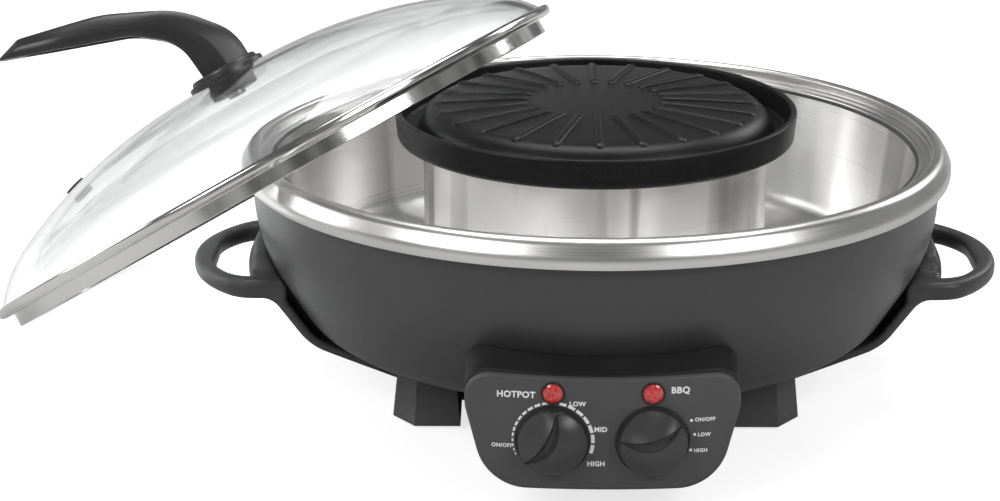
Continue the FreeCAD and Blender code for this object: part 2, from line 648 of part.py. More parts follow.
def make_outer_bowl():
    """Painted steel bowl: closed floor, inward lip at the top that carries the pot."""
    sheet = "Sizes.bowl_sheet"
    outer = bowl_corners("0", BOWL_TOP_Z)
    inner = list(reversed(bowl_corners(f"(0 - {sheet})", f"{BOWL_TOP_Z} - {sheet}")))
    lip_r = f"({BOWL_R} - Sizes.bowl_lip)"
    corners = [(outer[0][0], outer[0][1], "1.6")] + outer[1:] + inner
    corners += [(lip_r, f"{BOWL_TOP_Z} - {sheet}"), (lip_r, BOWL_TOP_Z)]
    shell = ring_body("BowlShell", corners)
    window_z = f"({HEATER_Z} - Sizes.heater_leg - Sizes.lead_window / 2)"
    tools = [box("BowlWindow", "Sizes.heater_open + 2 * Sizes.lead_window", "Sizes.heater_tube * 11",
                 "Sizes.lead_window",
                 vector("0", "-(Sizes.heater_radius + Sizes.heater_tube * 3.5)", window_z))]
    for side in (-1, 1):
        for number, y in enumerate(handle_screw_spots(side)):
            start = handle_bore_x(side)
            tools.append(x_cylinder(f"BowlHandleBore{side + 1}{number}",
                                    "Sizes.screw_radius + Sizes.bore_play", start,
                                    "Sizes.handle_bore_length", y,
                                    value("Sizes.handle_screw_height")))
        spot = boss_spot(side)
        tools.append(cylinder(f"BowlHousingBore{side + 1}", "Sizes.screw_radius + Sizes.bore_play",
                              f"{PANEL_Y} - Sizes.housing_back", spot, turned(X_DIR, 90)))
    node("outer_bowl", cut("OuterBowl", shell, *tools))


# ---------------------------------------------------------------- arms, handles and feet

def arm_underside(inner):
    """Lower line of an arm, from under the pot out to the handle."""
    full = "(Sizes.arm_gap + Sizes.arm_thick)"
    return [
        (inner, "Sizes.arm_clearance"),
        (f"{BOWL_R} - Sizes.flat_inset - 4", "Sizes.arm_clearance", "20"),
        (f"{BOWL_R} - Sizes.turn_inset + 0.8 * {full}", f"Sizes.turn_height - 0.75 * {full}", "30"),
        (f"{BOWL_R} - 5", "Sizes.handle_top - Sizes.handle_thick + 1", "12"),
    ]


def arm_profile():
    """Section of an arm: it follows the bowl at a gap, from under the pot to the handle."""
    gap = "Sizes.arm_gap"
    turn_r = f"({BOWL_R} - Sizes.turn_inset)"
    flat_r = f"({BOWL_R} - Sizes.flat_inset - 4)"
    high = "(Sizes.arm_clearance + Sizes.arm_thick)"
    under = "(Sizes.handle_top - Sizes.handle_thick + 1)"
    return arm_underside("Sizes.arm_inner") + [
        (f"{BOWL_R} + Sizes.hole_root", under, "2"),
        (f"{BOWL_R} + Sizes.hole_root", "Sizes.handle_top - 1", "2"),
        (f"{BOWL_R} - 6", "Sizes.handle_top - 1"),
        (f"{turn_r} + 0.8 * {gap}", f"Sizes.turn_height - 0.75 * {gap}", "26"),
        (flat_r, high, "16"),
        ("Sizes.arm_inner", high),
    ]


def handle_loop(name, side):
    """Horizontal loop of one handle, drawn from above; side is +1 or -1."""
    root = f"{side} * ({BOWL_R} - 22)"
    centre = "(Sizes.rim_radius + Sizes.handle_reach - Sizes.handle_curve)"
    peak = f"({centre} + Sizes.handle_curve * sqrt(2))"
    corners = [
        (root, "-Sizes.handle_half"),
        (f"{side} * ({peak} - Sizes.handle_half)", "-Sizes.handle_half", "Sizes.handle_corner"),
        (f"{side} * {peak}", "0", "Sizes.handle_curve"),
        (f"{side} * ({peak} - Sizes.handle_half)", "Sizes.handle_half", "Sizes.handle_corner"),
        (root, "Sizes.handle_half"),
    ]
    if side < 0:
        corners.reverse()
    return block_body(name, "XY_Plane", corners, "Sizes.handle_thick",
                      "Sizes.handle_top - Sizes.handle_thick")


def finger_hole(name, side):
    """Finger hole of one handle."""
    near = f"{side} * ({BOWL_R} + Sizes.hole_root - 9)"
    far = f"{side} * (Sizes.rim_radius + Sizes.handle_reach - Sizes.handle_bar)"
    bevel = f"({far} - {side} * Sizes.hole_bevel)"
    corners = [
        (near, "-Sizes.hole_half", "Sizes.hole_end"),
        (bevel, "-Sizes.hole_half", "Sizes.hole_corner"),
        (far, "-(Sizes.hole_half - Sizes.hole_slope)", "Sizes.hole_bow"),
        (far, "Sizes.hole_half - Sizes.hole_slope", "Sizes.hole_bow"),
        (bevel, "Sizes.hole_half", "Sizes.hole_corner"),
        (near, "Sizes.hole_half", "Sizes.hole_end"),
    ]
    if side < 0:
        corners.reverse()
    return block_body(name, "XY_Plane", corners, "Sizes.handle_thick + 8",
                      "Sizes.handle_top - Sizes.handle_thick - 4")


def ear(name, side):
    """Tab of the handle that hugs the bowl inside the loop."""
    ring = ring_body(name + "Ring", [
        (f"{BOWL_R} - 16", "Sizes.handle_top - Sizes.handle_thick + 1"),
        (f"{BOWL_R} + Sizes.hole_root", "Sizes.handle_top - Sizes.handle_thick + 1", "2"),
        (f"{BOWL_R} + Sizes.hole_root", "Sizes.handle_top - 1", "4"),
        (f"{BOWL_R} - 1.5", "Sizes.ear_top", "1"),
        (f"{BOWL_R} - 16", "Sizes.ear_top"),
    ])
    start = "0" if side > 0 else "-(Sizes.rim_radius + 20)"
    width = block_body(name + "Width", "YZ_Plane", [
        ("-Sizes.ear_half", "Sizes.handle_top - 30"),
        ("Sizes.ear_half", "Sizes.handle_top - 30"),
        ("Sizes.ear_half", "Sizes.ear_top + 2", "15"),
        ("-Sizes.ear_half", "Sizes.ear_top + 2", "15"),
    ], "Sizes.rim_radius + 20", start)
    return common(name, ring, width)


def flat_edge(edge, side):
    """True for the loop's upper and lower edges, apart from those inside the bowl."""
    limits = edge.BoundBox
    reach = max(side * limits.XMin, side * limits.XMax)
    return limits.ZLength < 0.01 and reach > value(f"{BOWL_R} - 21")


def arm_screw_spots(side):
    """Where the screws of one arm go through the base plate."""
    angle = math.radians(45)
    ring = value("Sizes.plate_screw_ring")
    return [(side * ring * math.cos(angle), way * ring * math.sin(angle)) for way in (-1, 1)]


def foot_seat(side, end):
    """Middle of a foot's rubber pad."""
    return (side * value("Sizes.foot_x + Sizes.foot_width / 2"),
            end * value("Sizes.foot_front - Sizes.foot_depth / 2 + 2"))


def foot_screw_spot(side, end):
    """Middle of a foot's screw, under the arm."""
    return side * value("Sizes.foot_x + Sizes.foot_width / 2"), end * value("Sizes.arm_width / 2 - 7")


def handle_screw_spots(side):
    """Middles of the two screws between bowl and ear."""
    return [way * value("Sizes.ear_half * 0.45") for way in (-1, 1)]


def handle_bore_x(side):
    """Lower X of the bores for the handle screws."""
    inner = f"({BOWL_R} - Sizes.handle_bore_start)"
    return min(side * value(inner), side * value(f"{inner} + Sizes.handle_bore_length"))


def boss_spot(side):
    """Rear end of the axis of a housing boss."""
    return vector(f"{side} * (Sizes.panel_half - Sizes.boss_inset)", "-Sizes.housing_back",
                  "Sizes.panel_shoulder - Sizes.boss_drop")


def x_cylinder(name, radius, start, length, y, z):
    """Cylinder along +X from a start."""
    return cylinder(name, radius, length, FreeCAD.Vector(start, y, z), turned(Y_DIR, 90))


def make_handle_arm(side, label):
    """One moulding: arm under the bowl, handle loop and ear."""
    name = "ArmRight" if side > 0 else "ArmLeft"
    section = ring_body(name + "Section", arm_profile())
    strip = box(name + "Strip", "Sizes.rim_radius + 40", "Sizes.arm_width", "Sizes.rim_top",
                FreeCAD.Vector(side * value("(Sizes.rim_radius + 40) / 2"), 0, 0))
    arm = common(name + "Arm", section, strip)
    loop = rounded_edges(name + "Soft", cut(name + "Open", handle_loop(name + "Loop", side),
                                            finger_hole(name + "Hole", side)),
                         "Sizes.handle_soft", lambda edge: flat_edge(edge, side))
    moulding = fuse(name + "Moulding", arm, loop, ear(name + "Ear", side))
    tools = [bowl_envelope(name + "Bowl", "Sizes.ear_gap")]
    for number, (x, y) in enumerate(arm_screw_spots(side)):
        tools.append(cylinder(f"{name}PlateBore{number}", "Sizes.screw_radius + Sizes.bore_play",
                              "Sizes.turn_height",
                              FreeCAD.Vector(x, y, 0)))
    for end in (-1, 1):
        x, y = foot_screw_spot(side, end)
        tools.append(cylinder(f"{name}FootBore{end + 1}", "Sizes.screw_radius + Sizes.bore_play",
                              "Sizes.arm_clearance + Sizes.arm_thick - 1", FreeCAD.Vector(x, y, 0)))
    for number, y in enumerate(handle_screw_spots(side)):
        start = handle_bore_x(side)
        tools.append(x_cylinder(f"{name}EarBore{number}", "Sizes.screw_radius + Sizes.bore_play",
                                start, "Sizes.handle_bore_length", y,
                                value("Sizes.handle_screw_height")))
    node(label, cut(name, moulding, *tools))


def make_foot(side, end, label):
    """Bevelled foot under the outer end of an arm, cut back from arm and bowl."""
    name = label.title().replace("_", "")
    outer = "(Sizes.foot_x + Sizes.foot_width)"
    back = "(Sizes.foot_front - Sizes.foot_depth)"
    corners = [
        (f"{side} * Sizes.foot_x", f"{end} * {back}"),
        (f"{side} * {outer}", f"{end} * {back}"),
        (f"{side} * {outer}", f"{end} * (Sizes.foot_front - Sizes.foot_bevel * 1.3)"),
        (f"{side} * ({outer} - Sizes.foot_bevel)", f"{end} * Sizes.foot_front"),
        (f"{side} * Sizes.foot_x", f"{end} * Sizes.foot_front"),
    ]
    if side * end < 0:
        corners.reverse()
    body = new_body(name + "Block")
    pad = pad_in(body, "XY_Plane", corners, "Sizes.foot_top", "Sizes.pad_stand")
    pad.setExpression("TaperAngle", "-atan(Sizes.foot_flare / Sizes.foot_top)")
    arm_room = common(name + "ArmShape",
                      ring_body(name + "ArmRoom", arm_underside("0")
                                + [(f"{BOWL_R} - 5", "Sizes.rim_top"), ("0", "Sizes.rim_top")]),
                      box(name + "ArmStrip", "2 * Sizes.rim_radius", "Sizes.arm_width + 0.1",
                          "Sizes.rim_top"))
    seat = FreeCAD.Vector(*foot_seat(side, end), 0)
    pocket = cylinder(name + "Pocket", "Sizes.pad_radius", "Sizes.pad_height", seat)
    x, y = foot_screw_spot(side, end)
    bore = cylinder(name + "Bore", "Sizes.screw_radius + Sizes.bore_play", "Sizes.foot_top",
                    FreeCAD.Vector(x, y, 0))
    sink = cylinder(name + "Sink", "Sizes.screw_head + 0.3",
                    "Sizes.pad_stand + Sizes.screw_head_height + 0.4",
                    FreeCAD.Vector(x, y, 0))
    node(label, cut(name, body, bowl_envelope(name + "Bowl", "0.4"), arm_room, pocket, bore, sink))
    node(label.replace("foot", "foot_pad"),
         cylinder(name + "Rubber", "Sizes.pad_radius", "Sizes.pad_height", seat))


# ---------------------------------------------------------------- base plate and screws

def screw(name, shank_length, base, rotation=None):
    """Pan-head screw along its own +Z; the head lies below the base point."""
    shank = cylinder(name + "Shank", "Sizes.screw_radius", shank_length)
    head = cylinder(name + "Head", "Sizes.screw_head", "Sizes.screw_head_height",
                    vector("0", "0", "-Sizes.screw_head_height"))
    return place(fuse(name, shank, head), base, rotation)


def make_base_plate():
    """Round cover that ties both arms together under the bowl."""
    low = "(Sizes.arm_clearance + Sizes.arm_thick)"
    disc = cylinder("PlateDisc", "Sizes.plate_radius", "Sizes.plate_thick", vector("0", "0", low))
    spots = arm_screw_spots(-1) + arm_screw_spots(1)
    holes = []
    spacers = []
    screws = []
    for number, (x, y) in enumerate(spots):
        holes.append(cylinder(f"PlateHole{number}", "Sizes.screw_radius + Sizes.bore_play",
                              "Sizes.turn_height",
                              FreeCAD.Vector(x, y, 0)))
        tube = cylinder(f"PlatePost{number}", "Sizes.screw_head + 1.2",
                        f"Sizes.bowl_bottom - {low} - Sizes.plate_thick",
                        FreeCAD.Vector(x, y, value(f"{low} + Sizes.plate_thick")))
        bore = cylinder(f"PlateBore{number}", "Sizes.screw_radius + Sizes.bore_play",
                        "Sizes.turn_height", FreeCAD.Vector(x, y, 0))
        spacers.append(cut(f"PlateSpacer{number}", tube, bore))
        screws.append(screw(f"PlateScrew{number}", "Sizes.bowl_bottom - Sizes.arm_clearance - 0.05",
                            FreeCAD.Vector(x, y, value("Sizes.arm_clearance"))))
    node("base_plate", cut("BasePlate", disc, *holes))
    node("base_plate_spacers", group("PlateSpacers", spacers))
    node("base_plate_screws", group("PlateScrews", screws))


def make_foot_screws():
    """One screw up through each foot into its arm."""
    screws = []
    for side in (-1, 1):
        for end in (-1, 1):
            x, y = foot_screw_spot(side, end)
            start = "(Sizes.pad_stand + Sizes.screw_head_height + 0.4)"
            length = f"Sizes.arm_clearance + Sizes.arm_thick - 1.2 - {start}"
            screws.append(screw(f"FootScrew{side + 1}{end + 1}", length,
                                FreeCAD.Vector(x, y, value(start))))
    node("foot_screws", group("FootScrews", screws))


def make_handle_screws():
    """Two screws through the bowl into each ear."""
    screws = []
    for side in (-1, 1):
        for number, y in enumerate(handle_screw_spots(side)):
            inner = value(f"{BOWL_R} - Sizes.handle_screw_start")
            angle = 90 if side > 0 else -90
            screws.append(screw(f"HandleScrew{side + 1}{number}", "Sizes.handle_screw_length",
                                FreeCAD.Vector(side * inner, y, value("Sizes.handle_screw_height")),
                                FreeCAD.Rotation(FreeCAD.Vector(0, 1, 0), angle)))
    node("handle_screws", group("HandleScrews", screws))


# ---------------------------------------------------------------- control housing and panel

def panel_corners(inset, bottom="Sizes.panel_low"):
    """Front outline of the panel, from the lower left corner, drawn inwards by an inset."""
    side = f"(Sizes.panel_half - {inset})"
    low = f"(Sizes.panel_base_half - {inset})"
    top = f"(Sizes.panel_top + Sizes.panel_sag / 2 - {inset})"
    middle = f"(Sizes.panel_top - Sizes.panel_sag / 2 - {inset})"
    round_top = f"Sizes.panel_corner - {inset}"
    return [
        (f"-{low}", f"{bottom} + {inset}", f"Sizes.panel_low_corner - {inset}"),
        (low, f"{bottom} + {inset}", f"Sizes.panel_low_corner - {inset}"),
        (side, "Sizes.panel_shoulder", "15"),
        (side, top, round_top),
        ("0", middle, "900"),
        (f"-{side}", top, round_top),
        (f"-{side}", "Sizes.panel_shoulder", "15"),
    ]


def face_cylinder(name, depth):
    """Upright cylinder whose front follows the panel's face at a depth behind it."""
    centre = vector("0", f"Sizes.panel_curve - {PANEL_Y}", "0")
    return cylinder(name, f"Sizes.panel_curve - ({depth})", "Sizes.rim_top", centre)


def control_place(x, z, depth="0"):
    """Frame on the panel's face: local +Z points out of the panel, local +X to the right."""
    across = value(x)
    radius = value("Sizes.panel_curve")
    lean = math.asin(across / radius)
    out = FreeCAD.Vector(math.sin(lean), -math.cos(lean), 0)
    right = FreeCAD.Vector(math.cos(lean), math.sin(lean), 0)
    rotation = FreeCAD.Rotation(right, FreeCAD.Vector(0, 0, 1), out, "ZXY")
    centre_y = value(f"Sizes.panel_curve - {PANEL_Y}")
    point = FreeCAD.Vector(across, centre_y - radius * math.cos(lean), value(z)) + out * (-value(depth))
    return FreeCAD.Placement(point, rotation)


def at_control(thing, x, z, depth="0"):
    """Move a piece made in a control's own frame to the panel."""
    thing.Placement = control_place(x, z, depth) * thing.Placement
    return thing


def make_housing():
    """Hollow tub between panel and bowl, with two bosses and a notch for the leads."""
    reach = f"({PANEL_Y} - Sizes.housing_back + 10)"
    front = f"(Sizes.housing_back - 10 + {reach})"
    block = block_body("HousingBlock", "XZ_Plane", panel_corners("0"), f"{reach}", "Sizes.housing_back")
    block_lift = 0.22
    brow = new_body("HousingBrow")
    brow_pad = pad_in(brow, "XZ_Plane", panel_corners("0"), "Sizes.brow_depth",
                      f"{front} - Sizes.brow_depth")
    brow_pad.UseCustomVector = True
    brow_pad.Direction = FreeCAD.Vector(0, -1, -block_lift)
    brow_pad.AlongSketchNormal = False
    brow.Placement.Base.z = value("Sizes.brow_depth") * block_lift
    inner = block_body("HousingHollow", "XZ_Plane", panel_corners("Sizes.housing_wall"),
                       f"{reach} - Sizes.housing_wall + 1", "Sizes.housing_back + Sizes.housing_wall")
    bosses = []
    bores = []
    for side in (-1, 1):
        spot = boss_spot(side)
        bosses.append(cylinder(f"HousingBoss{side + 1}", "Sizes.boss_radius",
                               f"{PANEL_Y} - Sizes.housing_back - Sizes.boss_front",
                               spot, turned(X_DIR, 90)))
        bores.append(cylinder(f"HousingBore{side + 1}", "Sizes.screw_radius + Sizes.bore_play",
                              f"{PANEL_Y} - Sizes.housing_back - Sizes.boss_front - Sizes.boss_end",
                              spot, turned(X_DIR, 90)))
    shell = fuse("HousingShell", cut("HousingTub", fuse("HousingOuter", block, brow), inner), *bosses)
    front_room = common("HousingFront", shell,
                        face_cylinder("HousingFace", "Sizes.panel_skin + Sizes.panel_gap"))
    notch = box("HousingNotch", "Sizes.notch_width", "Sizes.notch_length",
                "Sizes.panel_low + Sizes.housing_wall + 2 * Sizes.lead_radius",
                vector("0", "-(Sizes.housing_back + 6)", "0"))
    envelope = bowl_envelope("HousingBowl", "Sizes.housing_gap")
    node("control_housing", cut("Housing", front_room, envelope, notch, *bores))


def make_housing_screws():
    """Two screws through the bowl into the housing's bosses."""
    screws = []
    for side in (-1, 1):
        x = f"(Sizes.panel_half - Sizes.boss_inset)"
        z = "Sizes.panel_shoulder - Sizes.boss_drop"
        ring = f"({BOWL_R} - Sizes.housing_screw_ring)"
        start = vector(f"{side} * {x}", f"-sqrt({ring}^2 - {x}^2)", z)
        screws.append(screw(f"HousingScrew{side + 1}", "Sizes.housing_screw_length", start,
                            turned(X_DIR, 90)))
    node("housing_screws", group("HousingScrews", screws))


def make_panel():
    """Curved fascia with two round recesses, bush holes and lamp holes."""
    block = block_body("PanelBlock", "XZ_Plane", panel_corners("0"), "40", f"{PANEL_Y} - 35")
    skin = cut("PanelSkin", common("PanelFace", block, face_cylinder("PanelOuter", "0")),
               face_cylinder("PanelInner", "Sizes.panel_skin"))
    tools = []
    for side in (-1, 1):
        x = f"{side} * Sizes.control_x"
        recess = cylinder(f"Recess{side + 1}", "Sizes.recess_radius", "20")
        hole = cylinder(f"BushHole{side + 1}", "Sizes.bush_radius + Sizes.bush_hole_play", "40",
                        vector("0", "0", "-20"))
        lamp = cylinder(f"LampHole{side + 1}", "Sizes.lens_radius + Sizes.holder_wall + 0.1", "40",
                        vector("0", "0", "-20"))
        tools.append(at_control(recess, x, "Sizes.knob_height", "Sizes.recess_depth"))
        tools.append(at_control(hole, x, "Sizes.knob_height"))
        tools.append(at_control(lamp, x, "Sizes.lamp_height"))
    node("control_panel", cut("Panel", skin, *tools))


# ---------------------------------------------------------------- knobs and what they turn

def make_knob(side, knob_label, shaft_label):
    """Round knob with a finger scoop, and its shaft."""
    name = "KnobRight" if side > 0 else "KnobLeft"
    x = f"{side} * Sizes.control_x"
    low = "(Sizes.knob_air - Sizes.recess_depth)"
    disc = ring_body(name + "Disc", [
        ("Sizes.bush_radius + 3.4", low),
        ("Sizes.knob_radius", low, "0.6"),
        ("Sizes.knob_radius - 0.4", f"{low} + Sizes.knob_base", "1.5"),
        ("Sizes.knob_radius * 0.55", f"{low} + Sizes.knob_base + Sizes.knob_dome * 0.85", "9"),
        ("0", f"{low} + Sizes.knob_base + Sizes.knob_dome"),
        ("0", f"{low} + 3.4"),
        ("Sizes.bush_radius + 3.4", f"{low} + 3.4"),
    ])
    scoop = cylinder(name + "Scoop", "Sizes.knob_radius * 1.3", "3 * Sizes.knob_radius")
    middle = vector("Sizes.knob_scoop + Sizes.knob_radius * 1.3 * 0.66", "-1.5 * Sizes.knob_radius",
                    f"{low} + Sizes.knob_base * 0.6 + Sizes.knob_radius * 1.3")
    place(scoop, middle, turned(X_DIR, -90))
    bore = cylinder(name + "Bore", "Sizes.shaft_radius", f"Sizes.shaft_grip + 3", vector("0", "0", low))
    knob = cut(name, disc, scoop, bore)
    turn = "30" if side < 0 else "215"
    spin = FreeCAD.Placement(FreeCAD.Vector(), turned(Z_DIR, turn))
    knob.Placement = control_place(x, "Sizes.knob_height") * spin
    node(knob_label, knob)
    shaft = cylinder(name + "Shaft", "Sizes.shaft_radius",
                     f"Sizes.panel_skin + Sizes.control_depth * 0.6 + Sizes.shaft_grip",
                     vector("0", "0", f"-(Sizes.panel_skin + Sizes.control_depth * 0.6)"))
    node(shaft_label, at_control(shaft, x, "Sizes.knob_height"))


def make_control(side, label):
    """Case and bush of a control behind the panel, with its bore for the shaft."""
    name = "ControlRight" if side > 0 else "ControlLeft"
    x = f"{side} * Sizes.control_x"
    back = "(Sizes.panel_skin + Sizes.control_depth + Sizes.control_gap)"
    case = box(name + "Case", "Sizes.control_width", "Sizes.control_width", "Sizes.control_depth",
               vector("0", "0", f"-{back}"))
    bush = cylinder(name + "Bush", "Sizes.bush_radius",
                    f"{back} - Sizes.recess_depth + Sizes.nut_thick + 0.3",
                    vector("0", "0", f"-{back}"))
    bore = cylinder(name + "Bore", "Sizes.shaft_radius + Sizes.shaft_play",
                    f"Sizes.control_depth * 0.7 + Sizes.panel_skin + 10",
                    vector("0", "0", f"-(Sizes.panel_skin + Sizes.control_depth * 0.7)"))
    tabs = []
    for number, way in enumerate((-1, 1)):
        tabs.append(box(f"{name}Tab{number}", "Sizes.tab_width", "Sizes.tab_thick", "Sizes.tab_length",
                        vector(f"{way} * Sizes.control_width / 4", "-Sizes.tab_drop",
                               f"-{back} - Sizes.tab_length")))
    body = cut(name, fuse(name + "Solid", case, bush, *tabs), bore)
    node(label, at_control(body, x, "Sizes.knob_height"))


def make_nuts():
    """Hexagon nuts that clamp both controls to the panel."""
    nuts = []
    for side in (-1, 1):
        prism = DOC.addObject("Part::Prism", f"Nut{side + 1}")
        prism.Polygon = 6
        prism.setExpression("Circumradius", "Sizes.nut_radius")
        prism.setExpression("Height", "Sizes.nut_thick")
        place(prism, vector("0", "0", "-Sizes.recess_depth"))
        bore = cylinder(f"NutBore{side + 1}", "Sizes.bush_radius + 0.02", "10", vector("0", "0", "-5"))
        nut = cut(f"ControlNut{side + 1}", prism, bore)
        nuts.append(at_control(nut, f"{side} * Sizes.control_x", "Sizes.knob_height"))
    node("control_nuts", group("ControlNuts", nuts))


def make_lamp(side, lens_label, holder_label):
    """Lamp lens with a domed front, held by a flanged ring."""
    name = "LampRight" if side > 0 else "LampLeft"
    x = f"{side} * Sizes.control_x"
    lens = ring_body(name + "Lens", [
        ("0", "-Sizes.lamp_depth"),
        ("Sizes.lens_radius", "-Sizes.lamp_depth"),
        ("Sizes.lens_radius", "Sizes.lens_stand * 0.3"),
        ("Sizes.lens_radius * 0.45", "Sizes.lens_stand", "3"),
        ("0", "Sizes.lens_stand"),
    ])
    bore = "(Sizes.lens_radius + 0.05)"
    holder = ring_body(name + "Holder", [
        (bore, "-Sizes.lamp_depth * 0.7"),
        ("Sizes.lens_radius + Sizes.holder_wall", "-Sizes.lamp_depth * 0.7"),
        ("Sizes.lens_radius + Sizes.holder_wall", "0.02"),
        ("Sizes.lens_radius + Sizes.holder_wall + 0.6", "0.02"),
        ("Sizes.lens_radius + Sizes.holder_wall + 0.6", "Sizes.holder_flange", "0.4"),
        (bore, "Sizes.holder_flange", "0.3"),
    ])
    node(lens_label, at_control(lens, x, "Sizes.lamp_height"))
    node(holder_label, at_control(holder, x, "Sizes.lamp_height"))


# ---------------------------------------------------------------- heaters inside the bowl

def ring_spot(radius, angle, z):
    """A point on a ring about the pot's axis."""
    turn = math.radians(angle)
    reach = value(radius)
    return FreeCAD.Vector(reach * math.cos(turn), reach * math.sin(turn), value(z))


def heater_half_opening(radius):
    """Half angle of a heater ring's opening."""
    return math.degrees(math.asin(value("Sizes.heater_open") / 2 / value(radius)))


def heater_ends(radius, z):
    """The two ends of a heater ring that opens towards the front."""
    half = heater_half_opening(radius)
    return [ring_spot(radius, value("Sizes.heater_facing") + way * half, z) for way in (1, -1)]


def make_heater(name, label, radius, z, leg):
    """Tube heater: open ring with two legs bent down."""
    half = heater_half_opening(radius)
    ring = DOC.addObject("Part::Torus", name + "Ring")
    ring.setExpression("Radius1", radius)
    ring.setExpression("Radius2", "Sizes.heater_tube")
    ring.Angle3 = 360 - 2 * half
    place(ring, vector("0", "0", z), turned(Z_DIR, f"Sizes.heater_facing + {half}"))
    pieces = [ring]
    for number, end in enumerate(heater_ends(radius, z)):
        ball = DOC.addObject("Part::Sphere", f"{name}Ball{number}")
        ball.setExpression("Radius", "Sizes.heater_tube")
        place(ball, end)
        down = end - FreeCAD.Vector(0, 0, value(leg))
        pieces.append(ball)
        pieces.append(cylinder(f"{name}Leg{number}", "Sizes.heater_tube - 0.6", leg, down))
    node(label, fuse(name, *pieces))


def clip_blocks(name, radius, heater_z, floor_z, count, start):
    """Blocks that hold a heater ring above a reflector."""
    hold = DOC.addObject("Part::Torus", name + "Room")
    hold.setExpression("Radius1", radius)
    hold.setExpression("Radius2", "Sizes.heater_tube + 0.05")
    place(hold, vector("0", "0", heater_z))
    blocks = []
    for number in range(count):
        angle = start + 360.0 * number / count
        block = box(f"{name}Block{number}", "2 * (Sizes.heater_tube + Sizes.clip_thick)",
                    "Sizes.clip_width",
                    f"{heater_z} - {floor_z} + Sizes.clip_bite", ring_spot(radius, angle, floor_z),
                    turned(Z_DIR, str(angle)))
        blocks.append(cut(f"{name}Clip{number}", block, hold))
    return group(name, blocks)


def leg_holes(name, radius, z):
    """Holes for a heater's legs."""
    return [cylinder(f"{name}{number}", "Sizes.heater_tube + 1", "20", end - FreeCAD.Vector(0, 0, 10))
            for number, end in enumerate(heater_ends(radius, z))]


def make_lower_heating():
    """Ring heater under the pot with clips, reflector, posts, sensor and fuse."""
    make_heater("RingHeater", "ring_heater", "Sizes.heater_radius", HEATER_Z, "Sizes.heater_leg")
    top = f"({REFLECTOR_Z} + Sizes.reflector_sheet)"
    node("ring_heater_clips", clip_blocks("RingClips", "Sizes.heater_radius", HEATER_Z, top, 4,
                                          value("Sizes.ring_clip_start")))
    plate = ring_body("ReflectorPlate", [
        ("Sizes.reflector_inner", REFLECTOR_Z),
        ("Sizes.reflector_outer", REFLECTOR_Z),
        ("Sizes.reflector_outer", top),
        ("Sizes.reflector_inner", top),
    ])
    node("heat_reflector", cut("Reflector", plate,
                               *leg_holes("ReflectorHole", "Sizes.heater_radius", REFLECTOR_Z)))
    posts = []
    for number in range(4):
        foot = ring_spot("Sizes.post_ring", 45 + 90 * number, BOWL_FLOOR_Z)
        posts.append(cylinder(f"ReflectorPost{number}", "Sizes.post_radius",
                              f"{REFLECTOR_Z} - {BOWL_FLOOR_Z}", foot))
    node("reflector_posts", group("ReflectorPosts", posts))
    sensor = cylinder("Sensor", "Sizes.sensor_radius", f"{SPREADER_LOW_Z} - Sizes.seat_gap - {top}",
                      ring_spot("Sizes.post_ring + 32", 300, top))
    node("temperature_sensor", sensor)
    fuse_spot = ring_spot("Sizes.post_ring + 20", 90, f"{top} + Sizes.fuse_radius")
    fuse_body = cylinder("FuseBody", "Sizes.fuse_radius", "Sizes.fuse_length",
                         fuse_spot - vector("Sizes.fuse_length / 2"), turned(Y_DIR, 90))
    node("thermal_fuse", fuse_body)


def make_centre():
    """Column with the grill heater, its dish and clips."""
    column = ring_body("Column", [
        ("Sizes.column_radius - Sizes.column_sheet", BOWL_FLOOR_Z),
        ("Sizes.column_radius + Sizes.column_flange", BOWL_FLOOR_Z),
        ("Sizes.column_radius + Sizes.column_flange", f"{BOWL_FLOOR_Z} + Sizes.column_sheet"),
        ("Sizes.column_radius", f"{BOWL_FLOOR_Z} + Sizes.column_sheet", "2"),
        ("Sizes.column_radius", DISH_Z),
        ("Sizes.column_radius - Sizes.column_sheet", DISH_Z),
    ])
    node("centre_column", column)
    top = f"({DISH_Z} + Sizes.reflector_sheet)"
    dish = ring_body("Dish", [
        ("0", DISH_Z),
        ("Sizes.dish_radius", DISH_Z, "4"),
        ("Sizes.dish_radius", f"{DISH_Z} + Sizes.dish_rim"),
        ("Sizes.dish_radius - Sizes.reflector_sheet", f"{DISH_Z} + Sizes.dish_rim"),
        ("Sizes.dish_radius - Sizes.reflector_sheet", top, "3.2"),
        ("0", top),
    ])
    holes = leg_holes("DishHole", "Sizes.grill_heater_radius", DISH_Z)
    node("grill_reflector", cut("GrillReflector", dish, *holes))
    make_heater("GrillHeater", "grill_heater", "Sizes.grill_heater_radius", GRILL_HEATER_Z,
                "Sizes.grill_leg")
    node("grill_heater_clips", clip_blocks("GrillClips", "Sizes.grill_heater_radius", GRILL_HEATER_Z,
                                           top, 3, value("Sizes.grill_clip_start")))


# ---------------------------------------------------------------- leads, terminal block and inlet

def rod(name, radius, points):
    """Insulated lead: straight runs joined by round elbows."""
    pieces = []
    for number, (start, end) in enumerate(zip(points, points[1:])):
        along = end - start
        run = DOC.addObject("Part::Cylinder", f"{name}Run{number}")
        run.setExpression("Radius", radius)
        run.Height = along.Length
        place(run, start, FreeCAD.Rotation(FreeCAD.Vector(0, 0, 1), along))
        pieces.append(run)
        if number:
            elbow = DOC.addObject("Part::Sphere", f"{name}Elbow{number}")
            elbow.setExpression("Radius", radius)
            place(elbow, start)
            pieces.append(elbow)
    return fuse(name, *pieces) if len(pieces) > 1 else pieces[0]


def make_terminal_block():
    """Block on the housing's floor where the supply leads end."""
    block = box("TerminalBlock", "Sizes.block_width", "Sizes.block_depth", "Sizes.block_height",
                vector("0", "-(Sizes.housing_back + Sizes.block_reach)",
                       "Sizes.panel_low + Sizes.housing_wall"))
    node("terminal_block", block)


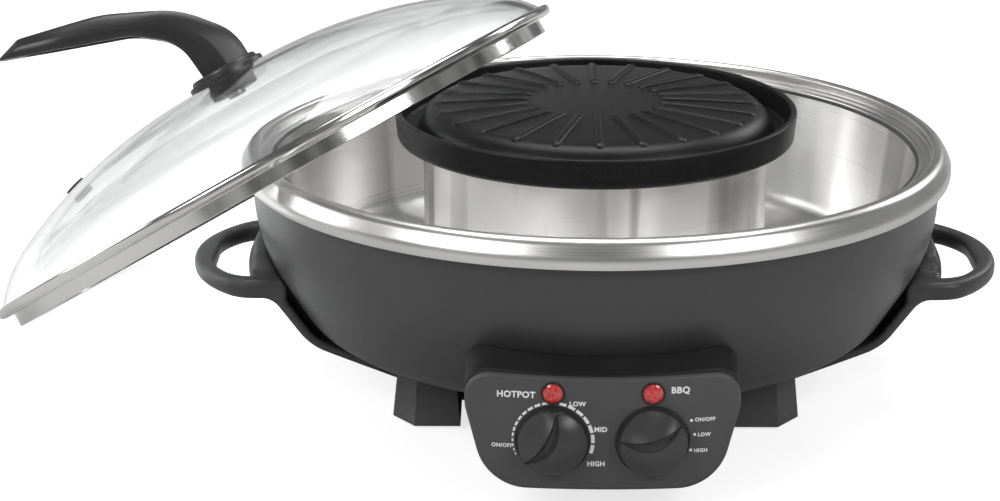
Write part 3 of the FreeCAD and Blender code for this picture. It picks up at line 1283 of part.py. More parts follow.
def make_supply_leads():
    """Three leads from the inlet's tabs, under the bowl, to the terminal block."""
    channel = "(Sizes.arm_clearance + Sizes.arm_thick + Sizes.plate_thick + Sizes.lead_radius + 0.15)"
    leads = []
    for number, way in enumerate((-1, 0, 1)):
        pitch = way * value("Sizes.pin_pitch")
        narrow = way * value("Sizes.lead_pitch")
        points = [
            FreeCAD.Vector(pitch, value("Sizes.inlet_back - Sizes.socket_depth - 11"),
                           value("Sizes.socket_centre")),
            FreeCAD.Vector(pitch, value("Sizes.inlet_back - Sizes.socket_depth - 15"),
                           value("Sizes.socket_centre - 3")),
            FreeCAD.Vector(narrow, value("Sizes.inlet_front + 14"), value("Sizes.panel_low + 6")),
            FreeCAD.Vector(narrow, value("Sizes.inlet_front - 8"), value(channel)),
            FreeCAD.Vector(narrow, -value("Sizes.housing_back - 8"), value(channel)),
            FreeCAD.Vector(narrow, -value("Sizes.housing_back + 30"),
                           value("Sizes.panel_low + Sizes.housing_wall + 5")),
            FreeCAD.Vector(narrow, -value("Sizes.housing_back + 45"),
                           value("Sizes.panel_low + Sizes.housing_wall + 5")),
        ]
        leads.append(rod(f"SupplyLead{number}", "Sizes.lead_radius", points))
    node("supply_leads", group("SupplyLeads", leads))


def make_heater_leads():
    """Leads from the controls to the legs of both heaters."""
    leads = []
    behind = -value(f"{PANEL_Y} - Sizes.panel_skin - Sizes.control_depth - 2")
    below = value("Sizes.lead_radius + 0.05")
    for number, end in enumerate(heater_ends("Sizes.heater_radius", f"{HEATER_Z} - Sizes.heater_leg")):
        start = end + FreeCAD.Vector(0, value("Sizes.lead_radius"), -below)
        leads.append(rod(f"HeaterLead{number}", "Sizes.lead_radius",
                         [start, FreeCAD.Vector(end.x, behind, start.z)]))
    window = value(f"{HEATER_Z} - Sizes.heater_leg - Sizes.lead_radius")
    for number, end in enumerate(heater_ends("Sizes.grill_heater_radius",
                                             f"{GRILL_HEATER_Z} - Sizes.grill_leg")):
        inward = end.x * 0.5
        leads.append(rod(f"GrillLead{number}", "Sizes.lead_radius", [
            end,
            FreeCAD.Vector(end.x, end.y, value(f"{BOWL_FLOOR_Z} + 6")),
            FreeCAD.Vector(inward, -value("Sizes.heater_radius - 34"), value(f"{BOWL_FLOOR_Z} + 6")),
            FreeCAD.Vector(inward, -value("Sizes.heater_radius + 4"), window),
            FreeCAD.Vector(inward, behind + value("Sizes.lead_end"), window),
        ]))
    node("heater_leads", group("HeaterLeads", leads))


def inlet_corners(inset):
    """Outline of the inlet housing seen from behind."""
    half = f"(Sizes.inlet_half - {inset})"
    return [
        (f"-{half}", f"Sizes.panel_low + {inset}", "3"),
        (half, f"Sizes.panel_low + {inset}", "3"),
        (half, f"Sizes.inlet_top - {inset}", "5"),
        (f"-{half}", f"Sizes.inlet_top - {inset}", "5"),
    ]


def make_inlet():
    """Housing behind the bowl with the power inlet and its pins."""
    reach = "(Sizes.inlet_back - Sizes.inlet_front)"
    block = block_body("InletBlock", "XZ_Plane", inlet_corners("0"), reach, "-Sizes.inlet_back")
    hollow = block_body("InletHollow", "XZ_Plane", inlet_corners("Sizes.housing_wall"), reach,
                        "-(Sizes.inlet_back - Sizes.housing_wall)")
    window = box("InletWindow", "Sizes.socket_width + 4.2", "12", "Sizes.socket_height + 4.2",
                 vector("0", "Sizes.inlet_back", "Sizes.socket_centre - Sizes.socket_height / 2 - 2.1"))
    notch = box("InletNotch", "Sizes.notch_width", "Sizes.notch_length * 1.2",
                "Sizes.panel_low + Sizes.housing_wall",
                vector("0", "Sizes.inlet_front", "0"))
    envelope = bowl_envelope("InletBowl", "Sizes.housing_gap")
    node("inlet_housing", cut("InletHousing", block, hollow, window, notch, envelope))
    base_z = "(Sizes.socket_centre - Sizes.socket_height / 2 - 2)"
    shell = box("InletShell", "Sizes.socket_width + 4", "Sizes.socket_depth + 3",
                "Sizes.socket_height + 4",
                vector("0", "Sizes.inlet_back - (Sizes.socket_depth + 3) / 2 + 0.05", base_z))
    flange = box("InletFlange", "Sizes.socket_width + 11", "1.5", "Sizes.socket_height + 11",
                 vector("0", "Sizes.inlet_back + 0.8", f"{base_z} - 3.5"))
    cavity = box("InletCavity", "Sizes.socket_width", "Sizes.socket_depth + 10", "Sizes.socket_height",
                 vector("0", "Sizes.inlet_back + 1.55 - Sizes.socket_depth + (Sizes.socket_depth + 10) / 2",
                        f"{base_z} + 2"))
    holes = []
    pins = []
    for number, way in enumerate((-1, 0, 1)):
        tall = "3" if way else "4"
        spot = vector(f"{way} * Sizes.pin_pitch", "Sizes.inlet_back - Sizes.socket_depth / 2 - 4",
                      f"Sizes.socket_centre - 1 - {way}^2")
        pins.append(box(f"InletPin{number}", "2", "Sizes.socket_depth + 8", tall, spot))
        holes.append(box(f"InletPinHole{number}", "2", "Sizes.socket_depth + 8", tall, spot))
    node("power_inlet", cut("PowerInlet", fuse("InletBody", shell, flange), cavity, *holes))
    node("inlet_pins", group("InletPins", pins))


# ---------------------------------------------------------------- lid

GLASS_OUTER = [
    ("0", "Sizes.glass_rise"),
    (f"{GLASS_R} - Sizes.crown_inset", "Sizes.glass_rise", "250"),
    (f"{GLASS_R} - Sizes.shoulder_inset", "Sizes.glass_rise - Sizes.crown_drop", "250"),
    (f"{GLASS_R} - Sizes.brow_inset", "Sizes.brow_height", "70"),
    (GLASS_R, "Sizes.seal_height"),
]
GLASS_INNER = [
    (f"{GLASS_R} - 1.4 * Sizes.glass_thick", "Sizes.seal_height"),
    (f"{GLASS_R} - Sizes.brow_inset - 0.65 * Sizes.glass_thick",
     "Sizes.brow_height - 0.85 * Sizes.glass_thick", "66"),
    (f"{GLASS_R} - Sizes.shoulder_inset - 0.42 * Sizes.glass_thick",
     "Sizes.glass_rise - Sizes.crown_drop - 0.95 * Sizes.glass_thick", "246"),
    (f"{GLASS_R} - Sizes.crown_inset - Sizes.glass_thick / 8", "Sizes.glass_rise - Sizes.glass_thick",
     "246"),
    ("0", "Sizes.glass_rise - Sizes.glass_thick"),
]
DISC_TOP = "(Sizes.glass_rise + Sizes.disc_height)"


def band_outline():
    """Section of the lid's rolled steel band with its skirt."""
    inner = f"({LID_SKIRT_R} - Sizes.band_wall)"
    lip = "(Sizes.band_height - Sizes.band_shelf)"
    return [
        (inner, "-(Sizes.band_shelf + Sizes.lid_skirt_drop)"),
        (LID_SKIRT_R, "-(Sizes.band_shelf + Sizes.lid_skirt_drop)"),
        (LID_SKIRT_R, "-Sizes.band_shelf"),
        (LID_R, "-Sizes.band_shelf", "2.2"),
        (LID_R, lip, "1.6"),
        (f"{LID_R} - Sizes.band_lip", lip, "0.3"),
        (f"{LID_R} - Sizes.band_lip", "0"),
        (inner, "0"),
    ]


def rim_clearance(point):
    """Distance from a point to the pot's rim, taken as a rounded band."""
    inner = value(STEP_R)
    outer = value("Sizes.rim_radius")
    middle = (inner + outer) / 2
    reach = math.hypot(point.x, point.y)
    soft = value("Sizes.rim_round") - 1 if reach > middle else 2.5
    across = abs(reach - middle) - ((outer - inner) / 2 - soft)
    above = point.z - (value("Sizes.rim_top") - soft)
    return math.hypot(max(across, 0), max(above, 0)) + min(max(across, above), 0) - soft


def band_points(rotation):
    """Points round the lower edges of the lid's band, turned but not moved."""
    points = []
    steps = 720
    edges = [(value(LID_SKIRT_R), -value("Sizes.band_shelf + Sizes.lid_skirt_drop")),
             (value(f"{LID_SKIRT_R} - Sizes.band_wall"),
              -value("Sizes.band_shelf + Sizes.lid_skirt_drop")),
             (value(LID_SKIRT_R), -value("Sizes.band_shelf")),
             (value(f"{LID_R} - 0.6"), -value("Sizes.band_shelf - 0.6")),
             (value(LID_R), 0.0)]
    for radius, height in edges:
        for number in range(steps):
            turn = 2 * math.pi * number / steps
            points.append(rotation.multVec(FreeCAD.Vector(radius * math.cos(turn),
                                                          radius * math.sin(turn), height)))
    return points


def resting_lid():
    """Pose of the lid: its low edge on the table, its skirt leaning on the pot's rim."""
    lean = turned(Z_DIR, "Sizes.lean_turn").multiply(turned(Y_DIR, "-Sizes.lean_angle"))
    points = band_points(lean)
    height = value("Sizes.table_gap") - min(point.z for point in points)
    uphill = turned(Z_DIR, "Sizes.lean_turn").multVec(FreeCAD.Vector(1, 0, 0))
    near = value("Sizes.rim_radius * 0.97")
    far = value("Sizes.rim_radius * 1.4")
    for _ in range(24):
        distance = (near + far) / 2
        offset = uphill * -distance + FreeCAD.Vector(0, 0, height)
        if min(rim_clearance(point + offset) for point in points) < value("Sizes.table_gap"):
            near = distance
        else:
            far = distance
    centre = uphill * -far + FreeCAD.Vector(0, 0, height)
    return FreeCAD.Placement(centre, lean.multiply(turned(Z_DIR, "Sizes.lid_spin")))


def vent_spot():
    """Place of the steam vent on the glass, in the lid's own frame."""
    spots = [vector(corner[0], corner[1]) for corner in GLASS_OUTER]
    radius = value(GLASS_OUTER[2][2])
    entry, leave, centre = corner_arc(spots[1], spots[2], spots[3], radius)
    reach = value("Sizes.vent_ring")
    height = centre.y + math.sqrt(radius ** 2 - (reach - centre.x) ** 2)
    tilt = math.degrees(math.asin((reach - centre.x) / radius))
    return FreeCAD.Placement(FreeCAD.Vector(-reach, 0, height), turned(Y_DIR, str(-tilt)))


def make_lid():
    """Loose lid: glass dome, steel band, seal, vent and swan-neck handle."""
    pose = resting_lid()
    vent = vent_spot()

    def lid_node(label, thing):
        thing.Placement = pose * thing.Placement
        node(label, thing)

    glass = ring_body("LidGlass", GLASS_OUTER + GLASS_INNER)
    screw_hole = cylinder("GlassHole", "Sizes.lid_screw_radius + 1", "Sizes.glass_rise + 10")
    vent_hole = cylinder("GlassVentHole", "Sizes.vent_radius + 0.05", "40", vector("0", "0", "-20"))
    vent_hole.Placement = vent * vent_hole.Placement
    lid_node("lid_glass", cut("Glass", glass, screw_hole, vent_hole))
    lid_node("lid_band", ring_body("LidBand", band_outline()))
    lid_node("lid_seal", ring_body("LidSeal", [
        (f"{GLASS_R} - 1.4 * Sizes.glass_thick - 1", "0.02"),
        (f"{GLASS_R}", "0.02"),
        (f"{GLASS_R}", "Sizes.seal_height"),
        (f"{GLASS_R} - 1.4 * Sizes.glass_thick - 1", "Sizes.seal_height"),
    ]))
    grommet = ring_body("SteamVent", [
        ("Sizes.vent_hole", "-Sizes.glass_thick - Sizes.vent_flange_thick - 0.3"),
        ("Sizes.vent_flange", "-Sizes.glass_thick - Sizes.vent_flange_thick - 0.3", "0.5"),
        ("Sizes.vent_flange", "-Sizes.glass_thick - 0.15"),
        ("Sizes.vent_radius", "-Sizes.glass_thick - 0.15"),
        ("Sizes.vent_radius", "0.15"),
        ("Sizes.vent_flange", "0.15"),
        ("Sizes.vent_flange", "Sizes.vent_flange_thick + 0.3", "0.7"),
        ("Sizes.vent_hole", "Sizes.vent_flange_thick + 0.3"),
    ])
    grommet.Placement = vent * grommet.Placement
    lid_node("steam_vent", grommet)
    lid_node("lid_handle_base", ring_body("HandleDisc", [
        ("Sizes.lid_screw_radius + 0.2", "Sizes.glass_rise"),
        ("Sizes.disc_radius", "Sizes.glass_rise", "0.8"),
        ("Sizes.disc_radius", "Sizes.glass_rise + Sizes.disc_edge", "1"),
        ("Sizes.disc_top", DISC_TOP, "1"),
        ("Sizes.lid_screw_radius + 0.2", DISC_TOP),
    ]))
    under = "(Sizes.glass_rise - Sizes.glass_thick)"
    lid_node("lid_washer", ring_body("LidWasher", [
        ("Sizes.lid_screw_radius + 0.2", f"{under} - Sizes.lid_washer_thick"),
        ("Sizes.lid_washer_radius", f"{under} - Sizes.lid_washer_thick", "1"),
        ("Sizes.lid_washer_radius", under),
        ("Sizes.lid_screw_radius + 0.2", under),
    ]))
    head_low = f"({under} - Sizes.lid_washer_thick - Sizes.lid_washer_thick)"
    lid_node("lid_screw", ring_body("LidScrew", [
        ("0", head_low),
        ("Sizes.lid_screw_head", head_low, "1"),
        ("Sizes.lid_screw_head", f"{under} - Sizes.lid_washer_thick"),
        ("Sizes.lid_screw_radius", f"{under} - Sizes.lid_washer_thick"),
        ("Sizes.lid_screw_radius", f"{DISC_TOP} + Sizes.lid_screw_grip"),
        ("0", f"{DISC_TOP} + Sizes.lid_screw_grip"),
    ]))
    lid_node("lid_handle", lid_handle())


def lid_handle():
    """Swan-neck handle: side outline and plan outline share one solid, hollowed underneath."""
    side_view = block_body("HandleSide", "XZ_Plane", [
        ("Sizes.neck_shift - Sizes.neck_half", DISC_TOP),
        ("Sizes.neck_shift + Sizes.neck_half", DISC_TOP),
        ("Sizes.neck_shift + Sizes.neck_half - 0.8", f"{DISC_TOP} + 17", "30"),
        ("Sizes.neck_shift - 7.5", f"{DISC_TOP} + 42.5", "60"),
        ("-45", f"{DISC_TOP} + Sizes.grip_tip_height - 5.2", "80"),
        ("-Sizes.grip_reach + Sizes.beak", f"{DISC_TOP} + Sizes.grip_tip_height + 5.3", "1"),
        ("-Sizes.grip_reach", f"{DISC_TOP} + Sizes.grip_tip_height", "1.5"),
        ("-35", f"{DISC_TOP} + 41.4", "40"),
        ("Sizes.neck_shift - Sizes.neck_half - 2.5", f"{DISC_TOP} + 26", "25"),
    ], "2 * Sizes.grip_width", both=True)
    plan_view = block_body("HandlePlan", "XY_Plane", [
        ("-(Sizes.grip_reach + 1)", "-Sizes.tip_width / 2", "4"),
        ("-62", "-Sizes.grip_width / 2", "60"),
        ("-22", "-Sizes.grip_width / 2", "50"),
        ("Sizes.neck_shift + Sizes.neck_half + 2", "-Sizes.neck_width / 2", "6"),
        ("Sizes.neck_shift + Sizes.neck_half + 2", "Sizes.neck_width / 2", "6"),
        ("-22", "Sizes.grip_width / 2", "50"),
        ("-62", "Sizes.grip_width / 2", "60"),
        ("-(Sizes.grip_reach + 1)", "Sizes.tip_width / 2", "4"),
    ], "Sizes.grip_reach", "Sizes.glass_rise")
    solid = common("HandleSolid", side_view, plan_view)
    bevelled = rounded_edges("HandleBevel", solid, "Sizes.grip_edge", upper_handle_edge)
    groove = block_body("HandleGroove", "XZ_Plane", [
        ("-82", f"{DISC_TOP} + 40"),
        ("-44", f"{DISC_TOP} + 28"),
        ("-44", f"{DISC_TOP} + 44 + Sizes.groove_depth"),
        ("-82", f"{DISC_TOP} + 57.6 + Sizes.groove_depth"),
    ], "Sizes.groove_width", both=True)
    bore = cylinder("HandleBore", "Sizes.lid_screw_radius", "Sizes.lid_screw_grip + 0.3",
                    vector("0", "0", DISC_TOP))
    return cut("LidHandle", bevelled, groove, bore)


def upper_handle_edge(edge):
    """Edges along the top of the handle, left and right."""
    limits = edge.BoundBox
    middle = edge.valueAt((edge.FirstParameter + edge.LastParameter) / 2)
    lengthwise = limits.XLength > 3
    return lengthwise and abs(middle.y) > 4 and upper_side(middle)


def upper_side(point):
    """True for points on the outer curve of the swan neck."""
    height = point.z - value(DISC_TOP)
    if height < 12:
        return point.x > 0
    slope = value("Sizes.grip_tip_height") / value("Sizes.grip_reach")
    return height > -point.x * slope + 21


# ---------------------------------------------------------------- checks and files

def main():
    """Build every sub-part, check it and write its file."""
    make_inner_pot()
    make_chimney()
    make_spreader()
    make_grill_plate()
    make_outer_bowl()
    make_handle_arm(1, "right_handle_arm")
    make_handle_arm(-1, "left_handle_arm")
    for side, side_name in ((1, "right"), (-1, "left")):
        for end, end_name in ((-1, "front"), (1, "rear")):
            make_foot(side, end, f"foot_{end_name}_{side_name}")
    make_base_plate()
    make_foot_screws()
    make_handle_screws()
    make_housing()
    make_housing_screws()
    make_panel()
    make_knob(-1, "hotpot_knob", "hotpot_shaft")
    make_knob(1, "bbq_knob", "bbq_shaft")
    make_control(-1, "thermostat")
    make_control(1, "selector_switch")
    make_nuts()
    make_lamp(-1, "hotpot_lamp_lens", "hotpot_lamp_holder")
    make_lamp(1, "bbq_lamp_lens", "bbq_lamp_holder")
    make_lower_heating()
    make_centre()
    make_terminal_block()
    make_supply_leads()
    make_heater_leads()
    make_inlet()
    make_lid()
    DOC.recompute()
    check_and_write()


def check_and_write():
    """Refuse failed objects, then write one STEP file per node."""
    failed = [thing.Name for thing in DOC.Objects if "Invalid" in thing.State or "Error" in thing.State]
    if failed:
        raise RuntimeError(f"failed objects: {failed}")
    os.makedirs("parts", exist_ok=True)
    for thing in NODES:
        shape = thing.Shape
        if shape.isNull() or not shape.isValid() or not shape.Solids:
            raise RuntimeError(f"{thing.Label} has no valid solid")
        shape.exportStep(f"parts/{thing.Label}.step")
        limits = shape.BoundBox
        print(f"{thing.Label:20s} solids {len(shape.Solids):2d} volume {shape.Volume / 1000:8.2f} cm3 "
              f"x {limits.XMin:7.1f} {limits.XMax:7.1f} y {limits.YMin:7.1f} {limits.YMax:7.1f} "
              f"z {limits.ZMin:6.1f} {limits.ZMax:6.1f}")


main()
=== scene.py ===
"""Looks of the electric hot pot: fine meshes, node materials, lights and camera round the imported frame.

The pot's axis is Z, the table is z = 0 and the panel faces -Y. Shapes are written in millimetres.
"""

import math

import bmesh
import bpy
from mathutils import Matrix, Vector


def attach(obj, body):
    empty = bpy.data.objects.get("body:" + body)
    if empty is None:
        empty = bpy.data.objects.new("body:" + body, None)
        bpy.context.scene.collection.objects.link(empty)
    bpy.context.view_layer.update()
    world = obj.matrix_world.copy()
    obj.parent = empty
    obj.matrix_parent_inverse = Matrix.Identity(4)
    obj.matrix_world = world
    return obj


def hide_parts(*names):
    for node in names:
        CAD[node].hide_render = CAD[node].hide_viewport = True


MM = 0.001
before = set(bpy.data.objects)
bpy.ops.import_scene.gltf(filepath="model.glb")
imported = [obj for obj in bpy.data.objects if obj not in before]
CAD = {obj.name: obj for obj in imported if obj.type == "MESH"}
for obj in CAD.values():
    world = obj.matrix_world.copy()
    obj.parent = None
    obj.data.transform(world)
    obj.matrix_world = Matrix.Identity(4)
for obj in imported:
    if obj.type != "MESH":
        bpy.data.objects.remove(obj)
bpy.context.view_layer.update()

# ---------------------------------------------------------------- sizes shared with the solids, mm

RIM_R = 190.0
RIM_Z = 136.3
RIM_LIP_Z = 122.4
RIM_BELLY_Z = 127.0
RIM_CREST_R = 184.5
STEP_R = 178.8
LEDGE_Z = 130.3
WALL_R = 172.5
WALL_FOOT_R = 162.0
FLOOR_Z = 60.0
SHEET = 1.2
CHIMNEY_R = 92.0
CHIMNEY_Z = 136.8
GRILL_Z = 137.1
GRILL_R = 107.4
GRILL_TOP_Z = 153.1
MOAT_R = 102.7
MOAT_Z = 141.1
DOME_FOOT_R = 95.2
DOME_R = 90.7
SHOULDER_Z = 154.3
CROWN_Z = 157.3
SKIRT_R = 90.2
BOWL_R = 184.5
BOWL_TOP_Z = 128.8
PANEL_Y = 193.0
PANEL_CURVE = 350.0
CONTROL_X = 24.0
KNOB_Z = 37.8
LAMP_Z = 62.0
KNOB_R = 16.5
LENS_R = 4.9
LID_R = 177.9
GLASS_R = 175.8
GLASS_RISE = 55.0
SKIRT_LOW = 10.2
LEAN_TURN = -22.9
LEAN_ANGLE = 32.2
LID_SPIN = 32.2
DISC_TOP = 59.8
NECK_FRONT = 16.9
NECK_BACK = -12.1
GRIP_TIP = -107.2
GRIP_NOSE = -92.3
PANEL_SIDE = 66.5
PANEL_LOW = 12.0
CREST_HALF = 15.6
DOT_R = 0.75
PRINT_LIFT = 0.1

# ---------------------------------------------------------------- faces round a turn

ROUND = 256
FINE_ROUND = 320


# ---------------------------------------------------------------- meshes

def rounded(corners, closed=True, fine=7.0):
    """Outline points in mm; a corner is (x, y) or (x, y, rounding radius)."""
    points = []
    count = len(corners)
    for number, corner in enumerate(corners):
        spot = Vector(corner[:2])
        at_end = not closed and number in (0, count - 1)
        if len(corner) < 3 or at_end:
            points.append(spot)
            continue
        before = (Vector(corners[number - 1][:2]) - spot).normalized()
        after = (Vector(corners[(number + 1) % count][:2]) - spot).normalized()
        half = before.angle(after) / 2
        radius = corner[2]
        centre = spot + (before + after).normalized() * (radius / math.sin(half))
        first = spot + before * (radius / math.tan(half)) - centre
        last = spot + after * (radius / math.tan(half)) - centre
        low = math.atan2(first.y, first.x)
        sweep = (math.atan2(last.y, last.x) - low + math.pi) % (2 * math.pi) - math.pi
        steps = max(2, math.ceil(abs(math.degrees(sweep)) / fine), math.ceil(abs(sweep) * radius / 5))
        for step in range(steps + 1):
            turn = low + sweep * step / steps
            points.append(centre + Vector((math.cos(turn), math.sin(turn))) * radius)
    return points


def revolve(mesh, profile, segments=ROUND, closed=True, matrix=None):
    """Add a turned surface about Z to a bmesh; the profile holds (radius, height) in mm."""
    matrix = matrix or Matrix.Identity(4)
    rings = []
    for radius, height in profile:
        count = 1 if radius < 1e-6 else segments
        ring = []
        for number in range(count):
            turn = 2 * math.pi * number / segments
            spot = Vector((radius * math.cos(turn), radius * math.sin(turn), height)) * MM
            ring.append(mesh.verts.new(matrix @ spot))
        rings.append(ring)
    following = rings[1:] + rings[:1] if closed else rings[1:]
    for low, high in zip(rings, following):
        join_rings(mesh, low, high, segments)


def join_rings(mesh, low, high, segments):
    """Faces between two rings; a ring of one vertex is a tip."""
    if len(low) == 1 and len(high) == 1:
        return
    for number in range(segments):
        after = (number + 1) % segments
        corners = [low[number % len(low)], low[after % len(low)],
                   high[after % len(high)], high[number % len(high)]]
        distinct = list(dict.fromkeys(corners))
        if len(distinct) > 2:
            mesh.faces.new(distinct)


def as_object(name, mesh, material, sharp=32.0):
    """Turn a bmesh into a smooth-shaded object with sharp creases."""
    bmesh.ops.recalc_face_normals(mesh, faces=mesh.faces)
    data = bpy.data.meshes.new(name)
    mesh.to_mesh(data)
    mesh.free()
    data.polygons.foreach_set("use_smooth", [True] * len(data.polygons))
    data.set_sharp_from_angle(angle=math.radians(sharp))
    data.materials.append(material)
    thing = bpy.data.objects.new(name, data)
    bpy.context.scene.collection.objects.link(thing)
    return thing


def turned(name, corners, material, segments=ROUND, matrix=None, fine=7.0):
    """A turned object from a closed outline with rounded corners."""
    mesh = bmesh.new()
    revolve(mesh, rounded(corners, fine=fine), segments, matrix=matrix)
    return as_object(name, mesh, material)


def install(thing, body, slot, *nodes):
    """Let a piece ride on its body and stand for CAD nodes; the slot argument is not used."""
    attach(thing, body)
    if nodes:
        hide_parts(*nodes)


def dress(names, material):
    """Give carried-over CAD nodes a material."""
    for name in names:
        data = CAD[name].data
        data.materials.clear()
        data.materials.append(material)


# ---------------------------------------------------------------- materials

class Shader:
    """A node material with a Principled surface and its texture helpers."""

    def __init__(self, name, color, roughness, metallic=0.0, specular=0.5):
        self.material = bpy.data.materials.new(name)
        self.material.use_nodes = True
        self.nodes = self.material.node_tree.nodes
        self.links = self.material.node_tree.links
        self.surface = self.nodes["Principled BSDF"]
        self.set("Base Color", (*color, 1))
        self.set("Roughness", roughness)
        self.set("Metallic", metallic)
        self.set("Specular IOR Level", specular)
        self.place = self.nodes.new("ShaderNodeTexCoord")
        self.normal = None

    def set(self, socket, value):
        """Put a value on the surface's own socket."""
        self.surface.inputs[socket].default_value = value

    def mapped(self, scale):
        """Object coordinates, stretched."""
        node = self.nodes.new("ShaderNodeMapping")
        node.inputs["Scale"].default_value = scale
        self.links.new(self.place.outputs["Object"], node.inputs["Vector"])
        return node.outputs["Vector"]

    def polar(self, around, along, outward):
        """Coordinates round Z: angle, height and radius, each with its own scale."""
        split = self.nodes.new("ShaderNodeSeparateXYZ")
        self.links.new(self.place.outputs["Object"], split.inputs[0])
        turn = self.math("ARCTAN2", split.outputs["Y"], split.outputs["X"])
        square = self.math("ADD", self.math("MULTIPLY", split.outputs["X"], split.outputs["X"]),
                           self.math("MULTIPLY", split.outputs["Y"], split.outputs["Y"]))
        radius = self.math("POWER", square, 0.5)
        join = self.nodes.new("ShaderNodeCombineXYZ")
        self.links.new(self.math("MULTIPLY", turn, around), join.inputs[0])
        self.links.new(self.math("MULTIPLY", split.outputs["Z"], along), join.inputs[1])
        self.links.new(self.math("MULTIPLY", radius, outward), join.inputs[2])
        return join.outputs[0]

    def math(self, operation, first, second):
        """A Math node on sockets or numbers."""
        node = self.nodes.new("ShaderNodeMath")
        node.operation = operation
        for socket, value in zip(node.inputs, (first, second)):
            if isinstance(value, (int, float)):
                socket.default_value = value
            else:
                self.links.new(value, socket)
        return node.outputs[0]

    def noise(self, scale, detail, coordinates=None):
        """Noise over the piece; the scale is in features per metre."""
        node = self.nodes.new("ShaderNodeTexNoise")
        node.inputs["Scale"].default_value = scale
        node.inputs["Detail"].default_value = detail
        node.inputs["Roughness"].default_value = 0.5
        self.links.new(coordinates or self.place.outputs["Object"], node.inputs["Vector"])
        return node.outputs["Fac"]

    def cells(self, scale):
        """Cell pattern for grain."""
        node = self.nodes.new("ShaderNodeTexVoronoi")
        node.inputs["Scale"].default_value = scale
        self.links.new(self.place.outputs["Object"], node.inputs["Vector"])
        return node.outputs["Distance"]

    def color(self, factor, stops):
        """Colour the surface through a ramp of (position, colour) stops."""
        ramp = self.nodes.new("ShaderNodeValToRGB")
        elements = ramp.color_ramp.elements
        while len(elements) < len(stops):
            elements.new(0.5)
        for element, (position, color) in zip(elements, stops):
            element.position = position
            element.color = (*color, 1)
        self.links.new(factor, ramp.inputs["Fac"])
        self.links.new(ramp.outputs["Color"], self.surface.inputs["Base Color"])

    def rough(self, factor, low, high):
        """Vary the roughness between two values with a pattern."""
        node = self.nodes.new("ShaderNodeMapRange")
        for name, value in (("From Min", 0.3), ("From Max", 0.7), ("To Min", low), ("To Max", high)):
            node.inputs[name].default_value = value
        self.links.new(factor, node.inputs["Value"])
        self.links.new(node.outputs["Result"], self.surface.inputs["Roughness"])

    def bump(self, height, distance):
        """Relief from a pattern; the distance is in millimetres."""
        node = self.nodes.new("ShaderNodeBump")
        node.inputs["Distance"].default_value = distance * MM
        node.inputs["Strength"].default_value = 1.0
        self.links.new(height, node.inputs["Height"])
        if self.normal:
            self.links.new(self.normal, node.inputs["Normal"])
        self.normal = node.outputs["Normal"]
        self.links.new(self.normal, self.surface.inputs["Normal"])


def grey(level, warm=0.0):
    """A near-neutral colour."""
    return (level * (1 + warm), level, level * (1 - warm))


def moulded(name, level, grain, depth, roughness=0.5, wear=0.25):
    """Textured black plastic: fine pebble grain, faint colour drift, worn lighter specks."""
    shader = Shader(name, grey(level), roughness)
    drift = shader.noise(28, 4)
    shader.color(drift, [(0.3, grey(level * (1 - wear))), (0.7, grey(level * (1 + wear)))])
    shader.rough(shader.noise(grain * 0.6, 2), roughness - 0.07, roughness + 0.08)
    shader.bump(shader.cells(grain), depth)
    shader.bump(shader.noise(grain * 0.35, 3), depth * 0.6)
    return shader.material


def steel(name, level, roughness, painted_reflection_turns, bands, anisotropy):
    """Steel brushed round the axis: fine lines, and painted reflections as light and dark bands in the
    base colour that stand across them.
    """
    warm = 0.01
    shader = Shader(name, grey(level, warm), roughness, 1.0)
    # Painted reflections: slow light and dark bands round the axis in the base colour, as deep as bands,
    # standing in for reflected lamps.
    painted_reflection_bands = shader.noise(1.0, 2, shader.polar(painted_reflection_turns, 2.0, 2.0))
    painted_reflection_dark = grey(level * (1 - bands), warm)
    painted_reflection_bright = grey(min(0.98, level * 1.1), warm)
    painted_reflection_half_dark = grey(level * (1 - bands * 0.6), warm)
    shader.color(painted_reflection_bands, [(0.38, painted_reflection_dark), (0.45, grey(level, warm)), (0.58, painted_reflection_bright), (0.7, painted_reflection_half_dark)])
    lines = shader.noise(1.0, 3, shader.polar(0.8, 1500.0, 1500.0))
    shader.rough(lines, roughness - 0.03, roughness + 0.04)
    shader.bump(lines, 0.0008)
    shader.set("Anisotropic", anisotropy)
    shader.set("Anisotropic Rotation", 0.25)
    return shader.material


def sheet_metal(name, color, roughness):
    """Plain rolled or plated metal for inner pieces."""
    shader = Shader(name, color, roughness, 1.0)
    pattern = shader.noise(60, 4)
    shader.color(pattern, [(0.3, tuple(c * 0.75 for c in color)), (0.7, color)])
    lines = shader.noise(1.0, 3, shader.mapped((40, 900, 900)))
    shader.rough(lines, roughness - 0.08, roughness + 0.12)
    shader.bump(lines, 0.015)
    return shader.material


def bowl_paint():
    """Satin dark grey paint with a very fine metallic speck."""
    shader = Shader("BowlPaint", grey(0.034), 0.42, 0.0, 0.5)
    speck = shader.noise(2600, 2)
    shader.color(speck, [(0.35, grey(0.028)), (0.62, grey(0.039)), (0.8, grey(0.06))])
    shader.rough(shader.noise(900, 3), 0.36, 0.48)
    shader.bump(shader.noise(1500, 3), 0.012)
    shader.bump(shader.noise(40, 2), 0.05)
    shader.set("Coat Weight", 0.25)
    shader.set("Coat Roughness", 0.3)
    return shader.material


def grill_coating():
    """Black non-stick coating over a fine cast skin."""
    shader = Shader("GrillCoating", grey(0.01), 0.34, 0.0, 0.22)
    speck = shader.noise(2200, 3)
    shader.color(speck, [(0.3, grey(0.004)), (0.62, grey(0.009)), (0.76, grey(0.07))])
    shader.rough(shader.noise(1200, 3), 0.27, 0.42)
    shader.bump(shader.noise(1700, 4), 0.09)
    shader.bump(shader.cells(700), 0.03)
    return shader.material


